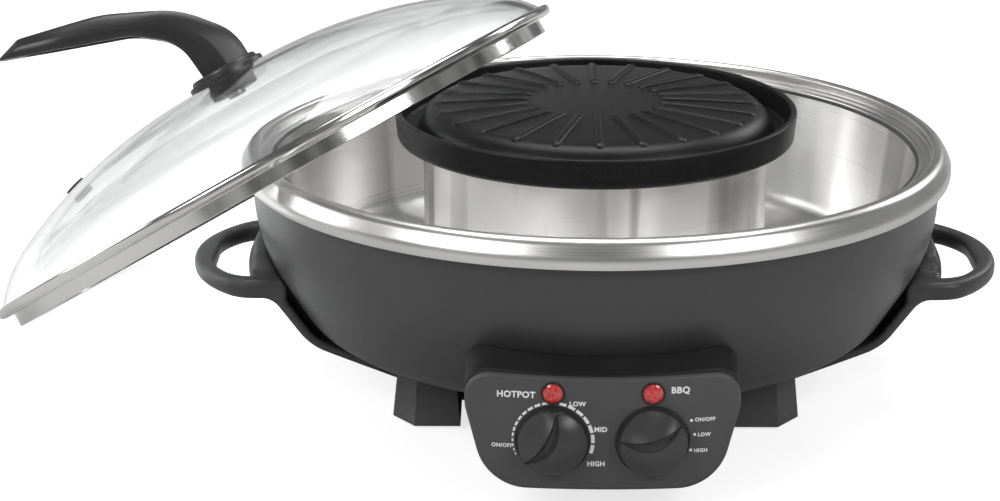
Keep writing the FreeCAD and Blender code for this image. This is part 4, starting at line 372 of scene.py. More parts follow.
def glass(name, tint):
    """Clear glass that lets the lamps' rays through."""
    shader = Shader(name, tint, 0.0)
    shader.set("Transmission Weight", 1.0)
    shader.set("IOR", 1.45)
    shader.rough(shader.noise(30, 2), 0.0, 0.015)
    path = shader.nodes.new("ShaderNodeLightPath")
    clear = shader.nodes.new("ShaderNodeBsdfTransparent")
    clear.inputs["Color"].default_value = (0.93, 0.94, 0.94, 1)
    mix = shader.nodes.new("ShaderNodeMixShader")
    output = shader.nodes["Material Output"]
    shader.links.new(path.outputs["Is Shadow Ray"], mix.inputs[0])
    shader.links.new(shader.surface.outputs[0], mix.inputs[1])
    shader.links.new(clear.outputs[0], mix.inputs[2])
    shader.links.new(mix.outputs[0], output.inputs["Surface"])
    return shader.material


def lens_red():
    """Red lamp lens."""
    shader = Shader("LensRed", (0.62, 0.035, 0.03), 0.14)
    shader.color(shader.noise(700, 3), [(0.3, (0.36, 0.01, 0.01)), (0.7, (0.72, 0.08, 0.07))])
    shader.set("Coat Weight", 0.6)
    shader.set("Coat Roughness", 0.05)
    return shader.material


def print_white():
    """White tampon print, slightly uneven."""
    shader = Shader("PrintWhite", grey(0.82), 0.55)
    shader.color(shader.noise(1800, 3), [(0.3, grey(0.7)), (0.6, grey(0.86))])
    return shader.material


def sleeve():
    """Woven glass-fibre sleeve of the inner leads."""
    shader = Shader("Sleeve", (0.7, 0.66, 0.58), 0.7)
    weave = shader.noise(1.0, 2, shader.mapped((2500, 2500, 1200)))
    shader.color(weave, [(0.3, (0.52, 0.48, 0.4)), (0.7, (0.78, 0.75, 0.68))])
    shader.bump(weave, 0.1)
    return shader.material


# Each steel's bands value sets how deep its painted reflection bands go.
RIM_STEEL = steel("RimSteel", 0.62, 0.3, 1.1, bands=0.1, anisotropy=0.0)
POT_STEEL = steel("PotSteel", 0.84, 0.3, 2.6, bands=0.4, anisotropy=0.75)
CHIMNEY_STEEL = steel("ChimneySteel", 0.95, 0.3, 3.0, bands=0.72, anisotropy=0.75)
BAND_STEEL = steel("BandSteel", 0.66, 0.12, 1.4, bands=0.2, anisotropy=0.0)
BOWL_PAINT = bowl_paint()
GRILL_COATING = grill_coating()
ARM_PLASTIC = moulded("ArmPlastic", 0.043, 1700, 0.05, 0.4)
FOOT_PLASTIC = moulded("FootPlastic", 0.075, 900, 0.12, 0.55)
PANEL_PLASTIC = moulded("PanelPlastic", 0.06, 2400, 0.04, 0.5, 0.08)
# Painted shade: the housing's plastic is darker than the other black plastics, standing in for the bowl's
# shadow over the housing.
HOUSING_PLASTIC_PAINTED_SHADE = moulded("HousingPlasticPaintedShade", 0.013, 1500, 0.07, 0.5)
KNOB_PLASTIC = moulded("KnobPlastic", 0.036, 2600, 0.02, 0.34, 0.1)
HANDLE_PLASTIC = moulded("HandlePlastic", 0.02, 2000, 0.03, 0.34)
DARK_RECESS = moulded("RecessPlastic", 0.008, 2400, 0.02, 0.6, 0.1)
RUBBER = moulded("Rubber", 0.025, 1100, 0.05, 0.75)
RESIN = moulded("Resin", 0.1, 1300, 0.03, 0.5)
SILICONE = moulded("Silicone", 0.32, 1300, 0.02, 0.5, 0.1)
LENS = lens_red()
WHITE = print_white()
SLEEVE = sleeve()
GLASS = glass("LidGlass", (0.97, 0.98, 0.98))
ZINC = sheet_metal("ZincScrew", (0.55, 0.55, 0.53), 0.34)
BRACKET = sheet_metal("Bracket", (0.6, 0.6, 0.6), 0.34)
ALUMINIUM = sheet_metal("Aluminium", (0.75, 0.76, 0.77), 0.36)
HEATER = sheet_metal("HeaterTube", (0.3, 0.27, 0.25), 0.45)
BRASS = sheet_metal("PinBrass", (0.75, 0.7, 0.6), 0.25)


# ---------------------------------------------------------------- pot, chimney, grill plate and bowl

def make_pot():
    """Inner pot with bull-nose rim, ledge, wall and floor, and the chimney."""
    lip = RIM_R - 1.2
    rim = turned("pot_rim_and_wall", [
        (lip, RIM_LIP_Z, 0.4), (RIM_R, RIM_BELLY_Z, 8.0), (RIM_CREST_R, RIM_Z, 6.0), (STEP_R, RIM_Z, 2.0),
        (STEP_R, LEDGE_Z, 1.0),
        (WALL_R, LEDGE_Z, 2.0), (WALL_FOOT_R, FLOOR_Z, 12.0), (CHIMNEY_R + 2.2, FLOOR_Z, 2.0),
        (CHIMNEY_R + 0.02, FLOOR_Z + 2.2), (CHIMNEY_R + 0.02, FLOOR_Z - SHEET),
        (WALL_FOOT_R + SHEET, FLOOR_Z - SHEET, 13.2),
        (WALL_R + SHEET, LEDGE_Z - SHEET, 0.8), (STEP_R + SHEET, LEDGE_Z - SHEET, 1.0),
        (STEP_R + SHEET, RIM_Z - SHEET, 1.0), (RIM_CREST_R - 0.6, RIM_Z - SHEET, 4.6),
        (RIM_R - SHEET, RIM_BELLY_Z - 0.2, 6.8), (lip - SHEET, RIM_LIP_Z, 0.4),
    ], RIM_STEEL, segments=FINE_ROUND, fine=4)
    rim.data.materials.append(POT_STEEL)
    for face in rim.data.polygons:
        reach = math.hypot(face.center.x, face.center.y)
        if reach < (WALL_R - 0.5) * MM and face.center.z < (LEDGE_Z - 1) * MM:
            face.material_index = 1
    install(rim, "pot", "pot_steel", "inner_pot")
    chimney = turned("chimney_tube", [
        (CHIMNEY_R - 1, FLOOR_Z - SHEET), (CHIMNEY_R, FLOOR_Z - SHEET),
        (CHIMNEY_R, CHIMNEY_Z, 0.4), (CHIMNEY_R - 1, CHIMNEY_Z, 0.4),
    ], CHIMNEY_STEEL)
    install(chimney, "pot", "pot_steel", "centre_chimney")


def dome_profile():
    """The dome's outline from its foot to the middle, as points in mm."""
    start = DOME_R - 14.0
    middle = DOME_R / 2
    middle_z = CROWN_Z - 0.72

    def crown(radius):
        if radius < middle:
            return CROWN_Z - (CROWN_Z - middle_z) * (radius / middle) ** 2
        share = (radius - middle) / (DOME_R - middle)
        return middle_z - (middle_z - SHOULDER_Z) * share ** 1.25

    points = rounded([
        (MOAT_R, MOAT_Z), (DOME_FOOT_R, MOAT_Z, 2.0), (DOME_R, SHOULDER_Z, 13.0), (start, crown(start)),
    ], closed=False, fine=4)[1:-1]
    steps = 24
    for step in range(steps + 1):
        radius = start * (1 - step / steps)
        points.append(Vector((radius, crown(radius))))
    return points


def dome_height(profile, radius):
    """Height of the dome at a radius, read off its outline."""
    for outer, inner in zip(profile, profile[1:]):
        if inner.x <= radius <= outer.x:
            share = (outer.x - radius) / max(1e-6, outer.x - inner.x)
            return outer.y + (inner.y - outer.y) * share
    return profile[-1].y


def add_ridge(mesh, profile, turn):
    """One raised bar on the dome with rounded ends and a rounded section."""
    inner, outer = 34.0, 87.2
    half = 2.35
    height = 1.7
    steps, across = 30, 10
    rows = []
    for step in range(steps + 1):
        share = 0.5 - 0.5 * math.cos(math.pi * step / steps)
        radius = inner + (outer - inner) * share
        from_end = min(radius - inner, outer - radius)
        width = half * math.sqrt(max(0.0, 1 - max(0.0, 1 - from_end / half) ** 2)) + 0.02
        rise = height * min(1.0, math.sqrt(max(0.0, from_end) / 3.2))
        row = []
        for number in range(across + 1):
            lean = math.pi * number / across
            side = -math.cos(lean) * width
            up = math.sin(lean) ** 0.8 * rise
            base = dome_height(profile, radius) - 0.35
            spot = Vector((radius, side, base + up)) * MM
            row.append(mesh.verts.new(Matrix.Rotation(turn, 4, "Z") @ spot))
        rows.append(row)
    for low, high in zip(rows, rows[1:]):
        for number in range(across):
            mesh.faces.new((low[number], low[number + 1], high[number + 1], high[number]))


def make_grill():
    """Cast grill plate with its rim, moat, dome and ridges."""
    mesh = bmesh.new()
    dome = dome_profile()
    corners = [
        (0, GRILL_Z + 10.5), (SKIRT_R - 3.2, GRILL_Z + 10.5, 2.0), (SKIRT_R - 3.2, GRILL_Z - 5, 0.5),
        (SKIRT_R, GRILL_Z - 5, 0.8), (SKIRT_R, GRILL_Z, 0.4), (GRILL_R - 1.5, GRILL_Z, 3.0),
        (GRILL_R, GRILL_TOP_Z, 1.2), (GRILL_R - 3.2, GRILL_TOP_Z, 1.2), (MOAT_R, MOAT_Z, 2.5),
        (DOME_FOOT_R, MOAT_Z),
    ]
    revolve(mesh, rounded(corners, closed=False)[:-1] + dome, ROUND, closed=False)
    bmesh.ops.remove_doubles(mesh, verts=mesh.verts, dist=1e-6)
    for number in range(24):
        add_ridge(mesh, dome, math.radians(360 / 24 * number))
    plate = as_object("grill_plate_cast", mesh, GRILL_COATING, 40)
    install(plate, "grill", "grill_coating", "grill_plate")


def make_bowl():
    """Outer bowl of painted steel."""
    corners = [
        (BOWL_R, BOWL_TOP_Z, 1.6), (BOWL_R - 3, 86, 80), (BOWL_R - 30, 42, 28), (BOWL_R - 95, 14, 30),
        (0, 14), (0, 15.5), (BOWL_R - 95 - 0.75, 15.5, 28.5), (BOWL_R - 31.25, 43, 26.5),
        (BOWL_R - 4.5, 86.4, 78.5), (BOWL_R - 1.5, BOWL_TOP_Z - 1.5), (BOWL_R - 14, BOWL_TOP_Z - 1.5),
        (BOWL_R - 14, BOWL_TOP_Z),
    ]
    bowl = turned("bowl_shell", corners, BOWL_PAINT, segments=FINE_ROUND)
    install(bowl, "base", "bowl_paint", "outer_bowl")


# ---------------------------------------------------------------- panel, knobs and lamps

def control_frame(x, z):
    """Frame on the panel's face: +Z out of the panel, +X to the right, +Y up; mm in, metres out."""
    lean = math.asin(x / PANEL_CURVE)
    out = Vector((math.sin(lean), -math.cos(lean), 0))
    right = Vector((math.cos(lean), math.sin(lean), 0))
    rotation = Matrix((right, Vector((0, 0, 1)), out)).transposed().to_4x4()
    spot = Vector((x, PANEL_CURVE - PANEL_Y - PANEL_CURVE * math.cos(lean), z)) * MM
    return Matrix.Translation(spot) @ rotation


def panel_outline(inset):
    """Front outline of the panel, drawn inwards."""
    side = PANEL_SIDE - inset
    low = 55.8 - inset
    top = 71.5 - inset
    middle = 69.5 - inset
    bottom = PANEL_LOW + inset
    shoulder = 53
    return rounded([
        (-low, bottom, 25 - inset), (low, bottom, 25 - inset), (side, shoulder, 15),
        (side, top, 12.5 - inset), (0, middle, 900), (-side, top, 12.5 - inset), (-side, shoulder, 15),
    ], fine=5)


def make_panel():
    """Curved fascia with a soft edge and two round recesses."""
    edge = 2.4
    skin = 2.5
    mesh = bmesh.new()
    rings = []
    levels = [(0.0, skin), (0.0, edge)]
    for step in range(1, 7):
        lean = math.radians(15 * step)
        levels.append((edge * (1 - math.cos(lean)), edge * (1 - math.sin(lean))))
    for inset, depth in levels:
        rings.append([mesh.verts.new((p.x * MM, depth * MM, p.y * MM)) for p in panel_outline(inset)])
    count = len(rings[0])
    for low, high in zip(rings, rings[1:]):
        join_rings(mesh, low, high, count)
    mesh.faces.new(rings[-1])
    mesh.faces.new(list(reversed(rings[0])))
    panel = as_object("panel_fascia", mesh, PANEL_PLASTIC, 32)
    cut_round(panel, CONTROL_X, KNOB_Z, 18.0, 1.2)
    cut_round(panel, -CONTROL_X, KNOB_Z, 18.0, 1.2)
    for side in (-1, 1):
        cut_round(panel, side * CONTROL_X, LAMP_Z, LENS_R + 0.3, 6)
        cut_round(panel, side * CONTROL_X, KNOB_Z, 4.8, 6)
    bend_panel(panel)
    install(panel, "base", "panel_plastic", "control_panel")


def cut_round(panel, x, z, radius, depth):
    """Cut a round recess or hole into the flat panel."""
    mesh = bmesh.new()
    spot = Matrix.Translation(Vector((x, -5, z)) * MM) @ Matrix.Rotation(math.radians(-90), 4, "X")
    profile = [(0, 0), (radius, 0), (radius, 5 + depth), (0, 5 + depth)]
    revolve(mesh, profile, 96, closed=False, matrix=spot)
    tool = as_object("tool", mesh, PANEL_PLASTIC)
    modifier = panel.modifiers.new("cut", "BOOLEAN")
    modifier.operation = "DIFFERENCE"
    modifier.solver = "EXACT"
    modifier.object = tool
    apply_modifiers(panel)
    bpy.data.objects.remove(tool)


def apply_modifiers(thing):
    """Replace a mesh by its modified self."""
    graph = bpy.context.evaluated_depsgraph_get()
    graph.update()
    data = bpy.data.meshes.new_from_object(thing.evaluated_get(graph))
    thing.modifiers.clear()
    thing.data = data


def bend_panel(panel):
    """Cut the flat panel into upright strips and bend it round its plan radius."""
    mesh = bmesh.new()
    mesh.from_mesh(panel.data)
    for step in range(-16, 17):
        geometry = mesh.verts[:] + mesh.edges[:] + mesh.faces[:]
        bmesh.ops.bisect_plane(mesh, geom=geometry, plane_co=(step * 4 * MM, 0, 0), plane_no=(1, 0, 0))
    for vertex in mesh.verts:
        depth = vertex.co.y / MM
        x = vertex.co.x / MM
        radius = PANEL_CURVE - depth
        vertex.co.y = (PANEL_CURVE - PANEL_Y - math.sqrt(radius ** 2 - x ** 2)) * MM
    mesh.to_mesh(panel.data)
    mesh.free()
    panel.data.polygons.foreach_set("use_smooth", [True] * len(panel.data.polygons))
    panel.data.set_sharp_from_angle(angle=math.radians(28))


def knob_height(x, y, crest, share):
    """Height of a knob's top over its base at a spot; share runs 0 to 1 across the finger hollow."""
    dome = 4.7 + 6.9 * max(0.0, 1 - (math.hypot(x, y) / (KNOB_R + 0.6)) ** 2.6)
    ends = max(0.0, 1 - (x / CREST_HALF) ** 2)
    ridge = 5.6 + 6.4 * ends ** 0.8
    if y < crest:
        return max(3.4, ridge - (crest - y) * (0.12 + 0.62 * ends))
    if share < 1:
        dip = 3.6 * ends ** 0.7 * math.sin(math.pi * min(1.0, share)) ** 0.7 * (1 - share * 0.35)
        return (ridge * (1 - share) + dome * share) - dip
    return dome


def make_knob(name, side, node, body, crest_turn):
    """Round knob: domed half, crest, finger hollow and slanted half."""
    mesh = bmesh.new()
    radius = KNOB_R - 0.3
    columns = 64
    bands = [("low", 10), ("hollow", 12), ("dome", 18)]
    rows_per_column = sum(count for _, count in bands) + 1
    grid = []
    for column in range(columns + 1):
        lean = math.pi * column / columns
        x = -radius * math.cos(lean)
        half = radius * math.sin(lean)
        crest = -6.9 + 2.6 * (1 - (x / radius) ** 2)
        crest = max(-half, min(half, crest))
        hollow_end = min(half, crest + 5.4 * max(0.0, 1 - (x / CREST_HALF) ** 2) + 0.4)
        limits = [-half, crest, hollow_end, half]
        spots = []
        for band, (label, count) in enumerate(bands):
            for step in range(count):
                share = step / count
                y = limits[band] + (limits[band + 1] - limits[band]) * share
                hollow = share if label == "hollow" else (0 if label == "low" else 1)
                spots.append((x, y, knob_height(x, y, crest, hollow)))
        spots.append((x, half, knob_height(x, half, crest, 1)))
        grid.append([mesh.verts.new(Vector(spot) * MM) for spot in spots])
    for left, right in zip(grid, grid[1:]):
        for number in range(rows_per_column - 1):
            mesh.faces.new((left[number], left[number + 1], right[number + 1], right[number]))
    bmesh.ops.remove_doubles(mesh, verts=mesh.verts, dist=1e-6)
    border = [edge for edge in mesh.edges if edge.is_boundary]
    for grow, drop in ((0.22, 0.12), (0.3, 0.5), (0.3, None)):
        border = skirt(mesh, border, radius + grow, drop)
    sunk = Matrix.Translation((0, 0, -0.7 * MM))
    turn = Matrix.Rotation(math.radians(crest_turn), 4, "Z")
    matrix = control_frame(side * CONTROL_X, KNOB_Z) @ sunk @ turn
    bmesh.ops.transform(mesh, matrix=matrix, verts=mesh.verts)
    knob = as_object(name, mesh, KNOB_PLASTIC, 38)
    install(knob, body, "knob_plastic", node)


def skirt(mesh, border, radius, drop):
    """Continue the knob's border outwards and down; drop None goes to the base."""
    fresh = {}
    for vertex in dict.fromkeys(vertex for edge in border for vertex in edge.verts):
        grow = radius * MM / math.hypot(vertex.co.x, vertex.co.y)
        height = 0.0 if drop is None else vertex.co.z - drop * MM
        fresh[vertex] = mesh.verts.new((vertex.co.x * grow, vertex.co.y * grow, height))
    following = []
    for first, second in [edge.verts[:] for edge in border]:
        mesh.faces.new((first, second, fresh[second], fresh[first]))
        following.append(mesh.edges.get((fresh[first], fresh[second])))
    return following


def make_lamp(name, side, node, holder):
    """Faceted red lens in a black ring."""
    matrix = control_frame(side * CONTROL_X, LAMP_Z)
    mesh = bmesh.new()
    facets = 14
    levels = [
        (LENS_R, -4, 0), (LENS_R, 0.6, 0), (3.7, 1.3, 0.5), (2.3, 1.7, 0), (1.0, 1.4, 0.5), (0, 1.3, 0),
    ]
    rings = []
    for radius, height, shift in levels:
        count = 1 if radius == 0 else facets
        ring = []
        for number in range(count):
            turn = 2 * math.pi * (number + shift) / facets
            spot = Vector((radius * math.cos(turn), radius * math.sin(turn), height)) * MM
            ring.append(mesh.verts.new(matrix @ spot))
        rings.append(ring)
    for low, high in zip(rings, rings[1:]):
        join_rings(mesh, low, high, facets)
    mesh.faces.new(rings[0])
    bmesh.ops.triangulate(mesh, faces=mesh.faces)
    lens = as_object(name, mesh, LENS, 1)
    install(lens, "base", "lamp_red", node)
    ring = turned(name.replace("lens", "ring"), [
        (LENS_R + 0.05, -8), (LENS_R + 0.2, -8), (LENS_R + 0.2, 0.02), (LENS_R + 0.8, 0.02),
        (LENS_R + 0.8, 0.9, 0.3), (LENS_R + 0.05, 0.9, 0.3),
    ], DARK_RECESS, segments=64, matrix=matrix)
    install(ring, "base", "lamp_ring", holder)


def make_scale():
    """Printed dashes round the left knob, growing clockwise, and dots beside the right one."""
    mesh = bmesh.new()
    ring = 19.3
    dashes = 20
    gap = 0.95
    position = 204.0
    for number in range(dashes):
        share = number / (dashes - 1)
        length = 1.2 + 3.3 * share
        half = (0.7 + 1.1 * share) / 2
        sweep = math.degrees(length / ring)
        add_dash(mesh, -CONTROL_X, ring, position, position - sweep, half)
        position -= sweep + math.degrees(gap / ring)
    for right, up in ((18.5, 10.0), (20.2, 2.7), (18.5, -5.3)):
        add_dot(mesh, CONTROL_X + right, KNOB_Z + up)
    marks = as_object("panel_scale", mesh, WHITE, 60)
    install(marks, "base", "panel_plastic")


def on_face(x, z):
    """A point of the print on the panel's face; mm in, metres out."""
    return control_frame(x, z) @ Vector((0, 0, PRINT_LIFT * MM))


def add_dash(mesh, x, ring, start, end, half):
    """One curved dash of the scale."""
    steps = 5
    inner = []
    outer = []
    for step in range(steps + 1):
        angle = math.radians(start + (end - start) * step / steps)
        for line, reach in ((inner, ring - half), (outer, ring + half)):
            spot = on_face(x + reach * math.cos(angle), KNOB_Z + reach * math.sin(angle))
            line.append(mesh.verts.new(spot))
    for step in range(steps):
        mesh.faces.new((inner[step], inner[step + 1], outer[step + 1], outer[step]))


def add_dot(mesh, x, z):
    """One printed dot."""
    corners = []
    count = 20
    for number in range(count):
        turn = 2 * math.pi * number / count
        spot = on_face(x + DOT_R * math.cos(turn), z + DOT_R * math.sin(turn))
        corners.append(mesh.verts.new(spot))
    mesh.faces.new(corners)


def make_word(name, text, x, z, height):
    """One generic word of the printed scale."""
    curve = bpy.data.curves.new(name, "FONT")
    curve.body = text
    curve.size = height * 1.42 * MM
    curve.align_x = "CENTER"
    curve.align_y = "CENTER"
    curve.offset = 0.045 * height * MM
    curve.space_character = 1.06
    curve.extrude = 0.05 * MM
    curve.resolution_u = 3
    word = bpy.data.objects.new(name, curve)
    bpy.context.scene.collection.objects.link(word)
    word.matrix_world = control_frame(x, z) @ Matrix.Translation((0, 0, 0.06 * MM))
    curve.materials.append(WHITE)
    bpy.context.view_layer.update()
    install(word, "base", "panel_plastic")


WORDS = [
    ("word_hotpot", "HOTPOT", -41.7, 60.8, 3.1),
    ("word_low_left", "LOW", -12.2, 56.8, 2.3),
    ("word_mid_left", "MID", -1.0, 43.8, 2.4),
    ("word_high_left", "HIGH", -3.1, 26.1, 2.4),
    ("word_off_left", "ON/OFF", -48.4, 34.4, 1.9),
    ("word_bbq", "BBQ", 37.0, 63.4, 3.2),
    ("word_off_right", "ON/OFF", 49.1, 48.0, 1.85),
    ("word_low_right", "LOW", 48.8, 40.2, 1.85),
    ("word_high_right", "HIGH", 47.3, 32.1, 1.85),
]


# ---------------------------------------------------------------- lid

def lid_frame():
    """Pose of the resting lid, read back from the band's solid."""
    turn = (Matrix.Rotation(math.radians(LEAN_TURN), 3, "Z")
            @ Matrix.Rotation(math.radians(-LEAN_ANGLE), 3, "Y")
            @ Matrix.Rotation(math.radians(LID_SPIN), 3, "Z"))
    back = turn.transposed()
    spots = [back @ vertex.co for vertex in CAD["lid_band"].data.vertices]
    low = Vector([min(spot[axis] for spot in spots) for axis in range(3)])
    high = Vector([max(spot[axis] for spot in spots) for axis in range(3)])
    centre = Vector(((low.x + high.x) / 2, (low.y + high.y) / 2, low.z + SKIRT_LOW * MM))
    return Matrix.Translation(turn @ centre) @ turn.to_4x4()


def make_lid(pose):
    """Glass dome, rolled band, seal and handle disc."""
    dome = turned("lid_glass_dome", [
        (4, GLASS_RISE), (57.8, GLASS_RISE, 250), (117.8, 40.7, 250), (160.8, 19.7, 70),
        (GLASS_R, 0.8, 0.3), (170.2, 0.8, 0.3), (158.2, 16.4, 66), (116.12, 37.0, 246),
        (57.3, 51, 246), (4, 51),
    ], GLASS, segments=FINE_ROUND, matrix=pose, fine=3)
    install(dome, "lid", "lid_glass", "lid_glass")
    band = turned("lid_band_rolled", [
        (168.3, -SKIRT_LOW, 0.5), (169.6, -SKIRT_LOW, 0.5), (169.6, -2.2, 0.8), (LID_R, -2.2, 2.8),
        (LID_R, 3.6, 2.0), (176, 3.6, 0.5), (176, 0), (168.3, 0),
    ], BAND_STEEL, segments=FINE_ROUND, matrix=pose)
    install(band, "lid", "band_steel", "lid_band")
    seal = turned("lid_seal_ring", [
        (169.2, 0.02), (175.8, 0.02), (175.8, 0.8), (169.2, 0.8),
    ], SILICONE, segments=FINE_ROUND, matrix=pose)
    install(seal, "lid", "seal_silicone", "lid_seal")
    disc = turned("lid_handle_disc", [
        (3.2, GLASS_RISE), (22.9, GLASS_RISE, 0.8), (22.9, GLASS_RISE + 3.6, 1.0),
        (20.4, GLASS_RISE + 4.4, 0.4), (19.6, GLASS_RISE + 6.6, 0.9), (3.2, GLASS_RISE + 6.6),
    ], HANDLE_PLASTIC, segments=128, matrix=pose)
    install(disc, "lid", "handle_plastic", "lid_handle_base")


def evenly(points, count):
    """Points at even steps along a polyline."""
    reach = [0.0]
    for first, second in zip(points, points[1:]):
        reach.append(reach[-1] + (second - first).length)
    result = []
    place = 0
    for number in range(count + 1):
        goal = reach[-1] * number / count
        while place < len(points) - 2 and reach[place + 1] < goal:
            place += 1
        share = (goal - reach[place]) / (reach[place + 1] - reach[place])
        result.append(points[place].lerp(points[place + 1], min(1.0, share)))
    return result


def between(stops, place):
    """A smooth value between (position, value) stops."""
    for (low, first), (high, second) in zip(stops, stops[1:]):
        if place <= high:
            share = (place - low) / (high - low)
            share = share * share * (3 - 2 * share)
            return first + (second - first) * share
    return stops[-1][1]


def grip_section(half, hollow):
    """Section of the grip: (side in mm, share of its height), rounded on top and hollow below."""
    points = []
    for number in range(21):
        lean = math.pi * number / 20
        side = math.cos(lean)
        bevel = max(0.0, (abs(side) - 0.58) / 0.42)
        points.append((half * side, 1 - 0.06 * side * side - 0.42 * bevel ** 1.5))
    under = [(1, 0.1), (0.94, 0.0), (0.68, 0.0), (0.64, hollow), (0.3, hollow * 1.15)]
    for side, share in under:
        points.append((half * -side, share))
    points.append((0.0, hollow * 1.2))
    for side, share in reversed(under):
        points.append((half * side, share))
    return points


def make_lid_grip(pose):
    """Swan-neck grip of the lid with a pointed beak."""
    steps = 72
    upper = evenly(rounded([
        (NECK_FRONT, DISC_TOP), (NECK_FRONT - 0.7, DISC_TOP + 17, 30), (-5.1, DISC_TOP + 42.5, 60),
        (-45, DISC_TOP + 61, 80), (GRIP_NOSE, DISC_TOP + 71.5, 5), (GRIP_TIP, DISC_TOP + 66.6),
    ], closed=False, fine=3), steps)
    lower = evenly(rounded([
        (NECK_BACK, DISC_TOP), (NECK_BACK - 2.5, DISC_TOP + 26, 25), (-35, DISC_TOP + 41.4, 40),
        (GRIP_TIP, DISC_TOP + 65.8),
    ], closed=False, fine=3), steps)
    widths = [(0, 21.0), (0.3, 22.0), (0.52, 26.4), (0.72, 26.4), (1.0, 15.5)]
    hollows = [(0, 0.0), (0.36, 0.0), (0.46, 0.42), (0.8, 0.42), (0.9, 0.0), (1.0, 0.0)]
    mesh = bmesh.new()
    rings = []
    for number in range(steps + 1):
        share = number / steps
        ring = []
        for side, height in grip_section(between(widths, share) / 2, between(hollows, share)):
            spot = lower[number].lerp(upper[number], height)
            ring.append(mesh.verts.new(pose @ (Vector((spot.x, side, spot.y)) * MM)))
        rings.append(ring)
    for first, second in zip(rings, rings[1:]):
        join_rings(mesh, first, second, len(first))
    mesh.faces.new(rings[0])
    mesh.faces.new(list(reversed(rings[-1])))
    grip = as_object("lid_grip", mesh, HANDLE_PLASTIC, 34)
    install(grip, "lid", "handle_plastic", "lid_handle")


# ---------------------------------------------------------------- carried-over solids

def softened(name, node, material, slot):
    """A mesh like a node's, with its edges softened, in place of the node."""
    thing = bpy.data.objects.new(name, CAD[node].data.copy())
    bpy.context.scene.collection.objects.link(thing)
    thing.matrix_world = CAD[node].matrix_world
    fine = thing.modifiers.new("fine", "REMESH")
    fine.mode = "VOXEL"
    fine.voxel_size = 1.3 * MM
    soft = thing.modifiers.new("soft", "SMOOTH")
    soft.factor = 0.5
    soft.iterations = 5
    apply_modifiers(thing)
    thing.data.materials.clear()
    thing.data.materials.append(material)
    thing.data.polygons.foreach_set("use_smooth", [True] * len(thing.data.polygons))
    install(thing, "base", slot, node)


def dress_solids():
    """Softened copies of the side handles, and materials of the CAD nodes that stay."""
    for side in ("right", "left"):
        softened(f"{side}_handle_soft", f"{side}_handle_arm", ARM_PLASTIC, "black_plastic")
    corners = ["front_right", "rear_right", "front_left", "rear_left"]
    dress([f"foot_{corner}" for corner in corners], FOOT_PLASTIC)
    dress([f"foot_pad_{corner}" for corner in corners], RUBBER)
    # The housings take the plastic darkened as painted shade.
    dress(["control_housing", "inlet_housing"], HOUSING_PLASTIC_PAINTED_SHADE)
    dress(["lid_washer", "steam_vent"], HANDLE_PLASTIC)
    dress(["base_plate"], BRACKET)
    dress(["base_plate_screws", "foot_screws", "handle_screws", "housing_screws", "lid_screw",
           "control_nuts", "hotpot_shaft", "bbq_shaft"], ZINC)
    dress(["base_plate_spacers", "reflector_posts", "ring_heater_clips", "grill_heater_clips",
           "centre_column", "temperature_sensor"], BRACKET)
    dress(["heat_reflector", "grill_reflector", "heat_spreader"], ALUMINIUM)
    dress(["ring_heater", "grill_heater"], HEATER)
    dress(["thermostat", "selector_switch", "terminal_block", "power_inlet", "thermal_fuse"], RESIN)
    dress(["supply_leads", "heater_leads"], SLEEVE)
    dress(["inlet_pins"], BRASS)


# ---------------------------------------------------------------- floor, lights and camera

def make_floor():
    """Pale floor that the camera sees as near white, with the object's shadow."""
    data = bpy.data.meshes.new("floor")
    reach = 9.0
    data.from_pydata([(-reach, -reach, 0), (reach, -reach, 0), (reach, reach, 0), (-reach, reach, 0)],
                     [], [(0, 1, 2, 3)])
    floor = bpy.data.objects.new("floor", data)
    bpy.context.scene.collection.objects.link(floor)
    material = bpy.data.materials.new("Floor")
    material.use_nodes = True
    nodes = material.node_tree.nodes
    links = material.node_tree.links
    surface = nodes["Principled BSDF"]
    surface.inputs["Base Color"].default_value = (0.55, 0.55, 0.55, 1)
    surface.inputs["Roughness"].default_value = 0.9
    path = nodes.new("ShaderNodeLightPath")
    seen = nodes.new("ShaderNodeMath")
    seen.operation = "MAXIMUM"
    links.new(path.outputs["Is Camera Ray"], seen.inputs[0])
    links.new(path.outputs["Is Transmission Ray"], seen.inputs[1])
    lift = nodes.new("ShaderNodeMath")
    lift.operation = "MULTIPLY"
    lift.inputs[1].default_value = 0.75
    links.new(seen.outputs[0], lift.inputs[0])
    surface.inputs["Emission Color"].default_value = (1, 1, 1, 1)
    links.new(lift.outputs[0], surface.inputs["Emission Strength"])
    data.materials.append(material)


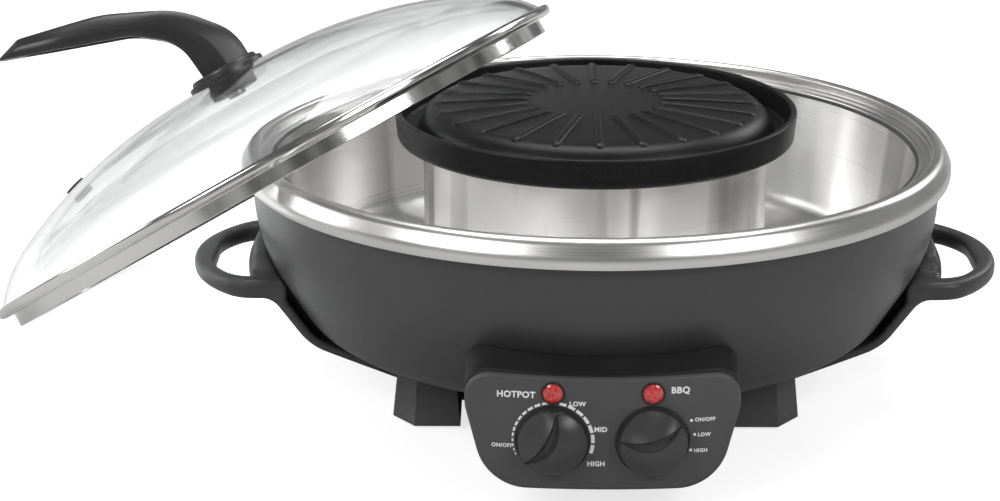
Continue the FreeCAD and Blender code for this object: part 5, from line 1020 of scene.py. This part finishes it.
def make_world():
    """Soft surroundings with upright stripes, brightest at the horizon."""
    world = bpy.data.worlds.new("Studio")
    bpy.context.scene.world = world
    world.use_nodes = True
    nodes = world.node_tree.nodes
    links = world.node_tree.links
    place = nodes.new("ShaderNodeTexCoord")
    split = nodes.new("ShaderNodeSeparateXYZ")
    ramp = nodes.new("ShaderNodeValToRGB")
    stops = [(0.0, 0.85), (0.2, 0.5), (0.55, 0.26), (0.95, 0.3)]
    elements = ramp.color_ramp.elements
    while len(elements) < len(stops):
        elements.new(0.5)
    for element, (position, level) in zip(elements, stops):
        element.position = position
        element.color = (level, level, level, 1)
    links.new(place.outputs["Generated"], split.inputs[0])
    links.new(split.outputs["Z"], ramp.inputs["Fac"])
    stripes = nodes.new("ShaderNodeTexNoise")
    stripes.inputs["Detail"].default_value = 0.0
    stretch = nodes.new("ShaderNodeMapping")
    stretch.inputs["Scale"].default_value = (1.9, 1.9, 0.4)
    links.new(place.outputs["Generated"], stretch.inputs["Vector"])
    links.new(stretch.outputs["Vector"], stripes.inputs["Vector"])
    contrast = nodes.new("ShaderNodeMapRange")
    for name, value in (("From Min", 0.4), ("From Max", 0.6), ("To Min", 0.35), ("To Max", 1.3)):
        contrast.inputs[name].default_value = value
    links.new(stripes.outputs["Fac"], contrast.inputs["Value"])
    product = nodes.new("ShaderNodeVectorMath")
    product.operation = "MULTIPLY"
    links.new(ramp.outputs["Color"], product.inputs[0])
    links.new(contrast.outputs["Result"], product.inputs[1])
    background = nodes["Background"]
    links.new(product.outputs["Vector"], background.inputs["Color"])
    background.inputs["Strength"].default_value = 0.6


def soft_box(name, place, aim, width, height, power):
    """One large area lamp aimed at a point, in metres and watts."""
    data = bpy.data.lights.new(name, "AREA")
    data.shape = "RECTANGLE"
    data.size = width
    data.size_y = height
    data.energy = power
    lamp = bpy.data.objects.new(name, data)
    lamp.location = place
    direction = Vector(aim) - Vector(place)
    lamp.rotation_euler = direction.to_track_quat("-Z", "Y").to_euler()
    bpy.context.scene.collection.objects.link(lamp)


def make_lights():
    """Soft boxes overhead, at the front left and right, at the left and behind."""
    soft_box("overhead", (0.1, 0.6, 2.3), (0, 0, 0.1), 2.0, 1.0, 38)
    soft_box("front_left", (-1.6, -1.5, 1.6), (0, 0, 0.1), 1.3, 0.9, 28)
    soft_box("front_right", (1.5, -1.5, 1.6), (0, 0, 0.1), 1.2, 0.9, 26)
    soft_box("left", (-2.2, 0.5, 0.8), (0, 0, 0.1), 1.2, 0.9, 14)
    soft_box("back_right", (1.6, 1.5, 1.3), (0, 0, 0.1), 0.9, 0.9, 12)


def make_camera():
    """The photograph's viewpoint."""
    data = bpy.data.cameras.new("camera")
    data.sensor_width = 36.0
    data.sensor_fit = "HORIZONTAL"
    data.lens = 97.344
    data.clip_start = 0.05
    data.clip_end = 50
    camera = bpy.data.objects.new("camera", data)
    camera.location = (-0.038, -1.4, 0.5238)
    camera.rotation_euler = (math.radians(90 - 17.9), 0, math.radians(0.535))
    bpy.context.scene.collection.objects.link(camera)
    bpy.context.scene.camera = camera


# ---------------------------------------------------------------- everything together

make_pot()
make_grill()
make_bowl()
make_panel()
make_knob("knob_left", -1, "hotpot_knob", "thermostat_knob", 240)
make_knob("knob_right", 1, "bbq_knob", "selector_knob", 194.5)
make_lamp("lamp_lens_left", -1, "hotpot_lamp_lens", "hotpot_lamp_holder")
make_lamp("lamp_lens_right", 1, "bbq_lamp_lens", "bbq_lamp_holder")
make_scale()
for word in WORDS:
    make_word(*word)
lid_pose = lid_frame()
make_lid(lid_pose)
make_lid_grip(lid_pose)
dress_solids()
make_floor()
make_world()
make_lights()
make_camera()
bpy.context.scene.view_settings.view_transform = "Standard"
